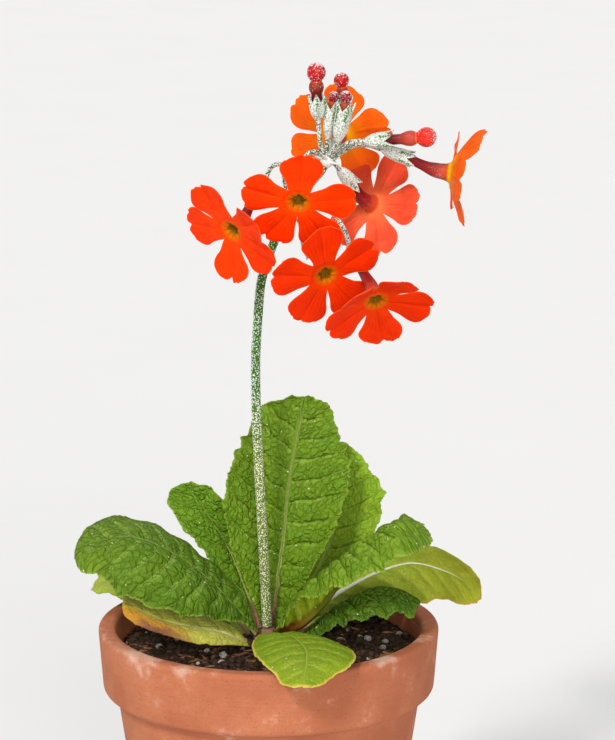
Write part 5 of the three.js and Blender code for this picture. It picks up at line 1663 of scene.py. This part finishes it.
def make_bud(name, bud, seed):
    """One bud, standing in its calyx."""
    base, mouth, head = (np.array(bud[part], float) for part in ("calyx", "mouth", "head"))
    round_head = bud["head_radius"]
    ripe = round_head > RIPE_HEAD
    length = np.linalg.norm(mouth - base) / 0.9
    start = base + unit(mouth - base) * (0.5 * length + 0.3)
    end = head + unit(head - mouth) * round_head
    fine = curve_at([start, mouth, head, end], np.linspace(0, 1, 200))
    run = length_along(fine)
    tight = 1 - (1 - np.linspace(0, 1, BUD_RINGS)) ** 1.25
    centres = np.stack([np.interp(tight * run[-1], run, fine[:, part]) for part in range(3)], axis=-1)

    # The outline is the widest of the neck, the swelling and the head, run together softly.
    neck = CALYX_MOUTH_RADIUS * bud_breadth(bud) / CALYX_RADIUS - 0.18
    left = run[-1] * (1 - tight)
    from_head = left - round_head
    in_head = np.sqrt(np.maximum(round_head**2 - from_head**2, 0))
    below = from_head - round_head - 0.7 * bud["swelling"]
    below = np.where(below > 0, below / (1.5 if ripe else 1.05), below)
    in_swelling = np.sqrt(np.maximum(bud["swelling"] ** 2 - below**2, 0))
    radii = (np.maximum(neck, 0.01) ** 6 + in_head**6 + in_swelling**6) ** (1 / 6)
    radii = np.where(left < round_head, np.maximum(in_head, 0.02), radii)

    # Five twisted seams on the head, which get painted shade, five shallow ribs below it
    turn = around(BUD_SIDES)
    head_share = smooth_step(round_head - np.abs(from_head), -0.25, 0.35)[:, None]
    seam = np.abs(np.sin(turn[None] * 2.5 + 0.9 * from_head[:, None] / round_head + seed)) ** 0.6
    swell = 1 - head_share * 0.09 * (1 - seam) + (1 - head_share) * 0.03 * np.cos(5 * turn)[None]
    rings = stalk_rings(centres, radii[:, None] * swell, BUD_SIDES)
    seam_shade = head_share * (1 - smooth_step(seam, 0.1, 0.5))
    shells = Shells()
    rings_shell(shells, rings + CROWN, bud_place=carry(rings, tight[:, None], head_share, seam_shade))
    skin = ripe_bud if ripe else young_bud if round_head < YOUNG_HEAD else bud_finish
    shells.piece(f"{name}_corolla", [skin], "tube", [name])


for number, (name, bud) in enumerate(BUDS.items()):
    make_bud(name, bud, number + 1)
print("buds", len(BUDS))

# %% [markdown]
# ## The crown
# Under the leaves sits a short rootstock, ringed by the feet of old leaves. Almost none of it
# shows, so it is one lumpy turned body, brown below and pinkish above.

# %% Crown
CROWN_SIDES = 48

# Radius and height, in millimetres from the crown
CROWN_PROFILE = [(0.02, -17), (3, -17), (4.0, -12), (4.2, -6), (4.2, -1.4), (3.4, -0.7), (2.2, -0.4),
    (1.9, 0.6), (1.6, 1.15), (0.02, 1.2)]

crown_finish, tree, shader = finish("rootstock", roughness=0.8, specular=0.2)
fibres = noise(place_in(tree), 1.2, 4.0, 0.7)
paint(shader, fibres.between((92, 62, 48), (176, 128, 104)), fibres, 0.3)

turn = around(CROWN_SIDES)
rings = []
for radius, height in CROWN_PROFILE:
    lumps = 1 + 0.05 * np.cos(7 * turn + height)
    rings.append(ring_at(radius * lumps, height, turn))
shells = Shells()
rings_shell(shells, np.array(rings) + CROWN)
shells.piece("rootstock", [crown_finish], "crown", ["crown"])
print("rootstock", len(shells.faces), "faces")

# %% [markdown]
# ## The clay pot
# A plain hand-size pot of fired clay: a tapering wall, a thicker band round the rim and three
# drain holes. It is turned as a lathe turns it, and the holes are cut with a boolean. Clay is
# never one colour: it has darker clouds, grain, dark specks, fine marks of turning, and pale
# lime where water dries out of the wall.

# %% Clay finish
clay_finish, tree, shader = finish("fired clay", roughness=0.85, specular=0.25)
where = place_in(tree)
cloud = noise(where, 0.045, 5.0, 0.6)
grain = noise(where, 2.2, 3.0, 0.7)
body = cloud.soft(0.3, 0.7).between((172, 98, 66), (196, 122, 86))
body = grain.soft(0.45, 0.8, 0.0, 0.6).between(body, (150, 82, 56))
distance, drawn = spots(where, 0.9)
speck = distance.soft(0.08, 0.16, 0.8, 0.0) * drawn.sum("GREATER_THAN", 0.7)
body = speck.between(body, (120, 70, 50))
height = where.parts()[2]
damp = height.soft(6.0, 46.0, 0.16, 0.0) + height.soft(84.0, 87.0, 0.0, 0.09)
lime = noise(where, 0.09, 6.0, 0.68) + damp
lime = lime.soft(0.57, 0.76, 0.0, 0.6) * grain.soft(0.25, 0.6, 0.55, 1.0)
body = lime.between(body, (222, 200, 182))
marks = noise(where.stretched((0.03, 0.03, 1.3)), 1.0, 3.0)
paint(shader, body, marks * 0.5 + grain * 0.35 + speck * -0.3, 0.35)
print("finish", clay_finish.name)

# %% Pot
POT_TOP_RADIUS = 45
POT_FOOT_RADIUS = 30
POT_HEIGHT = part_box("pot")[1].z / MILLIMETRE
POT_WALL = 4.5
POT_FLOOR = 5
BAND_HEIGHT = 17
BAND_STEP = 2.2
BAND_TAPER = 1.3
POT_SIDES = 144
CORNER_ROUNDING = 1.3
AXIS_GAP = 0.02
DRAIN_HOLES = 3
DRAIN_RADIUS = 3.5
DRAIN_DISTANCE = 16
DRILL_LENGTH = 20


def rounded(profile, radius, steps=5):
    """A profile with its corners rounded."""
    profile = [np.array(point, float) for point in profile]
    smooth = [profile[0]]
    for before, corner, after in zip(profile, profile[1:], profile[2:]):
        into = min(radius, np.linalg.norm(corner - before) * 0.45)
        out = min(radius, np.linalg.norm(after - corner) * 0.45)
        start = corner + unit(before - corner) * into
        end = corner + unit(after - corner) * out
        for step in np.linspace(0, 1, steps):
            smooth.append((1 - step) ** 2 * start + 2 * step * (1 - step) * corner + step**2 * end)
    return smooth + [profile[-1]]


band = POT_HEIGHT - BAND_HEIGHT
slope = (POT_TOP_RADIUS - BAND_STEP - POT_FOOT_RADIUS) / POT_HEIGHT
pot_profile = rounded(
    [
        (AXIS_GAP, 0),
        (POT_FOOT_RADIUS, 0),
        (POT_FOOT_RADIUS + slope * (band - 1), band - 1),
        (POT_TOP_RADIUS - BAND_TAPER, band + 0.3),
        (POT_TOP_RADIUS, POT_HEIGHT),
        (POT_TOP_RADIUS - POT_WALL, POT_HEIGHT),
        (POT_FOOT_RADIUS + slope * POT_FLOOR - POT_WALL, POT_FLOOR),
        (AXIS_GAP, POT_FLOOR),
    ],
    CORNER_ROUNDING,
)
turn = around(POT_SIDES)
rings = []
for radius, height in pot_profile:
    out_of_round = 0.12 * np.sin(2 * turn + 0.03 * height) * smooth_step(radius, 20, 40)
    rings.append(ring_at(radius + out_of_round, height, turn))
shells = Shells()
rings_shell(shells, np.array(rings))
pot = shells.piece("clay_pot", [clay_finish], "clay", ["pot"], crease=40)
for angle in 2 * math.pi * np.arange(DRAIN_HOLES) / DRAIN_HOLES + math.pi / 6:
    bpy.ops.mesh.primitive_cylinder_add(
        vertices=40,
        radius=DRAIN_RADIUS * MILLIMETRE,
        depth=DRILL_LENGTH * MILLIMETRE,
    )
    drill = bpy.context.object
    drill.location = ring_at(DRAIN_DISTANCE, 0, angle) * MILLIMETRE
    cut = pot.modifiers.new("drain", "BOOLEAN")
    cut.object = drill
    cut.operation = "DIFFERENCE"
    bpy.context.view_layer.objects.active = pot
    bpy.ops.object.modifier_apply(modifier=cut.name)
    bpy.data.objects.remove(drill)
print("pot faces", len(pot.data.polygons))

# %% [markdown]
# ## Compost
# The pot is filled to just under its rim. The top is a lumpy disc, raised round the crown so
# that it covers the feet of the leaves, with crumbs, shreds of bark and a little grit on it.
# The crumbs are one mesh: each is a small ball of few faces, squeezed and turned at random
# from a fixed seed.

# %% Compost finish
compost_finish, tree, shader = finish("compost", roughness=0.95, specular=0.15)
where = place_in(tree)
coarse = noise(where, 0.5, 5.0, 0.7)
fine = noise(where, 3.0, 3.0, 0.7)
body = coarse.soft(0.35, 0.7).between((38, 27, 20), (84, 62, 46))
body = fine.soft(0.5, 0.8, 0.0, 0.7).between(body, (120, 94, 70))
paint(shader, body, coarse + fine * 0.5, 0.8)


def crumb_finish(name, dark_tone, pale_tone):
    """Crumbs of one kind, each a little different from place to place."""
    material, tree, shader = finish(name, roughness=0.9, specular=0.2)
    where = place_in(tree)
    body = noise(where, 0.45, 3.0).soft(0.35, 0.7).between(dark_tone, pale_tone)
    paint(shader, body, noise(where, 2.5, 3.0), 0.3)
    return material


crumb_finishes = [
    crumb_finish("peat crumbs", (34, 24, 18), (92, 68, 50)),
    crumb_finish("bark shreds", (96, 64, 40), (158, 116, 80)),
    crumb_finish("grit", (150, 144, 132), (206, 200, 188)),
]
print("finishes", compost_finish.name, [crumb.name for crumb in crumb_finishes])

# %% The top of the compost
SOIL_DROP = 5.5
SOIL_SIDES = 260
SOIL_GAP = 0.15
SOIL_CELL = 2.1
surface = POT_HEIGHT - SOIL_DROP
pot_inside = POT_FOOT_RADIUS - POT_WALL + slope * POT_FLOOR
wall_slope = (POT_TOP_RADIUS - POT_WALL - pot_inside) / (POT_HEIGHT - POT_FLOOR)


def inside_pot(height):
    """The radius of the inside of the pot at a height."""
    return pot_inside + wall_slope * (height - POT_FLOOR) - SOIL_GAP


def cells(x, y, seed):
    """Jittered cells: how far inside its cell a point lies, and a number for the cell."""
    column = np.floor(x)
    row = np.floor(y)
    nearest = np.full(np.shape(x), 9.0)
    second = np.full(np.shape(x), 9.0)
    tone = np.zeros(np.shape(x))
    for across in (-1, 0, 1):
        for down in (-1, 0, 1):
            middle_x = column + across + 0.5 + 0.8 * (scatter(column + across, row + down, seed) - 0.5)
            middle_y = row + down + 0.5 + 0.8 * (scatter(row + down, column + across, seed + 5) - 0.5)
            distance = np.hypot(middle_x - x, middle_y - y)
            closer = distance < nearest
            second = np.where(closer, nearest, np.minimum(second, distance))
            tone = np.where(closer, scatter(column + across, row + down, seed + 9), tone)
            nearest = np.where(closer, distance, nearest)
    return second - nearest, tone


def soil_height(x, y):
    """The lumpy top of the compost, raised round the crown."""
    radius = np.hypot(x, y)
    lumps = 0.5 * ripple(x * 0.16, y * 0.16, 3) + 0.35 * ripple(x * 0.5, y * 0.5, 5)
    crumbly, tone = cells(x / SOIL_CELL, y / SOIL_CELL, 4)
    crumbs = 0.55 * smooth_step(crumbly, 0, 0.5) * (0.5 + tone)
    mound = 1.2 * (1 - smooth_step(radius, 5, 13))
    sink = -0.8 * smooth_step(radius, 34, 40)
    return surface - 0.6 + lumps + crumbs + mound + sink


print("compost height at the pot's axis", round(float(soil_height(0.0, 0.0)), 2), "mm")

# %% Compost
turn = around(SOIL_SIDES)
soil_floor = POT_FLOOR + 0.3
rings = [ring_at(radius, soil_floor, turn) for radius in (AXIS_GAP, inside_pot(soil_floor) - 1)]
for height in np.linspace(POT_FLOOR + 1.5, surface - 2.5, 4):
    rings.append(ring_at(inside_pot(height), height, turn))
for radius in np.concatenate([np.linspace(inside_pot(surface - 1.5), 3, 84), [AXIS_GAP]]):
    rings.append(ring_at(radius, soil_height(radius * np.cos(turn), radius * np.sin(turn)), turn))
shells = Shells()
rings_shell(shells, np.array(rings))
soil = shells.piece("compost_fill", [compost_finish], "compost", ["compost"], crease=80)
print("compost faces", len(soil.data.polygons))

# %% Crumbs, bark and grit
CRUMBS = 1500
CRUMB_REACH = 39.2
BALL_ROWS = (-0.8, -0.2, 0.45, 0.92)
BALL_SIDES = 6
BARK = 1
KIND_SHARES = [0.76, 0.17, 0.07]
KIND_SIZES = [1.0, 0.9, 1.15]

draw = np.random.default_rng(11)
ball = np.array([
    ring_at(math.sqrt(1 - height**2), height, np.linspace(0, 2 * math.pi, 7)[:BALL_SIDES] + height)
    for height in BALL_ROWS
])
top = (len(BALL_ROWS) - 1) * BALL_SIDES
ball_faces = grid_faces(len(BALL_ROWS), BALL_SIDES, wrapped=True)
ball_faces += [list(range(BALL_SIDES))[::-1], [top + side for side in range(BALL_SIDES)]]
shells = Shells()
limit = inside_pot(surface) - 0.1
for crumb in range(CRUMBS):
    radius = CRUMB_REACH * math.sqrt(draw.uniform(0.012, 1))
    angle = draw.uniform(0, 2 * math.pi)
    kind = draw.choice([0, 1, 2], p=KIND_SHARES)
    size = draw.uniform(0.35, 1.15) * KIND_SIZES[kind]
    squeeze = np.array([1, draw.uniform(0.6, 1), draw.uniform(0.5, 0.9)])
    if kind == BARK:
        squeeze = np.array([draw.uniform(2, 3.6), 0.7, 0.35])
    tilt = draw.normal(size=(3, 3)) * (0.25, 0.25, 1)
    axes, _ = np.linalg.qr(np.eye(3) + tilt)
    x = radius * math.cos(angle)
    y = radius * math.sin(angle)
    rough = ball * (1 + 0.18 * draw.uniform(-1, 1, size=(len(BALL_ROWS), BALL_SIDES, 1)))
    points = (rough * squeeze * size) @ axes.T + [x, y, float(soil_height(x, y)) + 0.15 * size]
    reach = np.hypot(points[..., 0], points[..., 1]).max()
    if reach > limit:
        points[..., :2] *= limit / reach
    shells.add(points, ball_faces, int(kind))
shells.piece("crumbs", crumb_finishes, "compost", [], crease=30)
print("crumbs", CRUMBS)

# %% [markdown]
# ## Floor and light
# A plain pale floor, a soft lamp from the front left, a weaker low one from the front right,
# one from behind for the edges, and an even pale surround. The lamps are far away, so that
# the floor is lit evenly up to the back of the picture, and wide, so that shadows stay soft.

# %% Floor
FLOOR_RADIUS_IN_METRES = 9

floor_finish, tree, shader = finish("pale floor", roughness=0.9, specular=0.1)
paint(shader, noise(place_in(tree), 0.01).between((240, 239, 237), (243, 242, 240)))
bpy.ops.mesh.primitive_circle_add(vertices=96, radius=FLOOR_RADIUS_IN_METRES, fill_type="NGON")
floor = bpy.context.object
floor.name = "floor"
floor.data.materials.append(floor_finish)
floor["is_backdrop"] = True
print("floor", floor.name)


# %% Lamps
def lamp(name, azimuth, elevation, strength, softness, tint=(1, 1, 1)):
    """A far soft lamp, seen from the plant at this azimuth and elevation, in degrees."""
    data = bpy.data.lights.new(name, "SUN")
    data.energy = strength
    data.angle = math.radians(softness)
    data.color = tint
    made = bpy.data.objects.new(name, data)
    made.rotation_euler = (math.radians(90 - elevation), 0, math.radians(azimuth + 90))
    bpy.context.scene.collection.objects.link(made)


# Azimuth, elevation, strength and softness, with a tint where it is warm
LAMPS = {
    "key": (-118, 42, 2.0, 11, (1, 0.985, 0.96)),
    "fill": (-78, 14, 1.5, 30),
    "back": (80, 55, 0.4, 40),
}
SURROUND_TONE = (235, 238, 242)
SURROUND_STRENGTH = 0.45

for name, settings in LAMPS.items():
    lamp(name, *settings)
world = bpy.data.worlds.new("surround")
world.use_nodes = True
surround = world.node_tree.nodes["Background"]
surround.inputs["Color"].default_value = screen(*SURROUND_TONE)
surround.inputs["Strength"].default_value = SURROUND_STRENGTH
bpy.context.scene.world = world
bpy.context.scene.view_settings.view_transform = "Standard"
print("lamps", len(LAMPS))

# %% [markdown]
# ## The end
# The box of the finished plant is found, and its triangles are counted.

# %% Sizes and finish
low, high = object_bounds()
total = 0
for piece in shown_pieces():
    piece.data.calc_loop_triangles()
    total += len(piece.data.loop_triangles)
print("triangles", total)
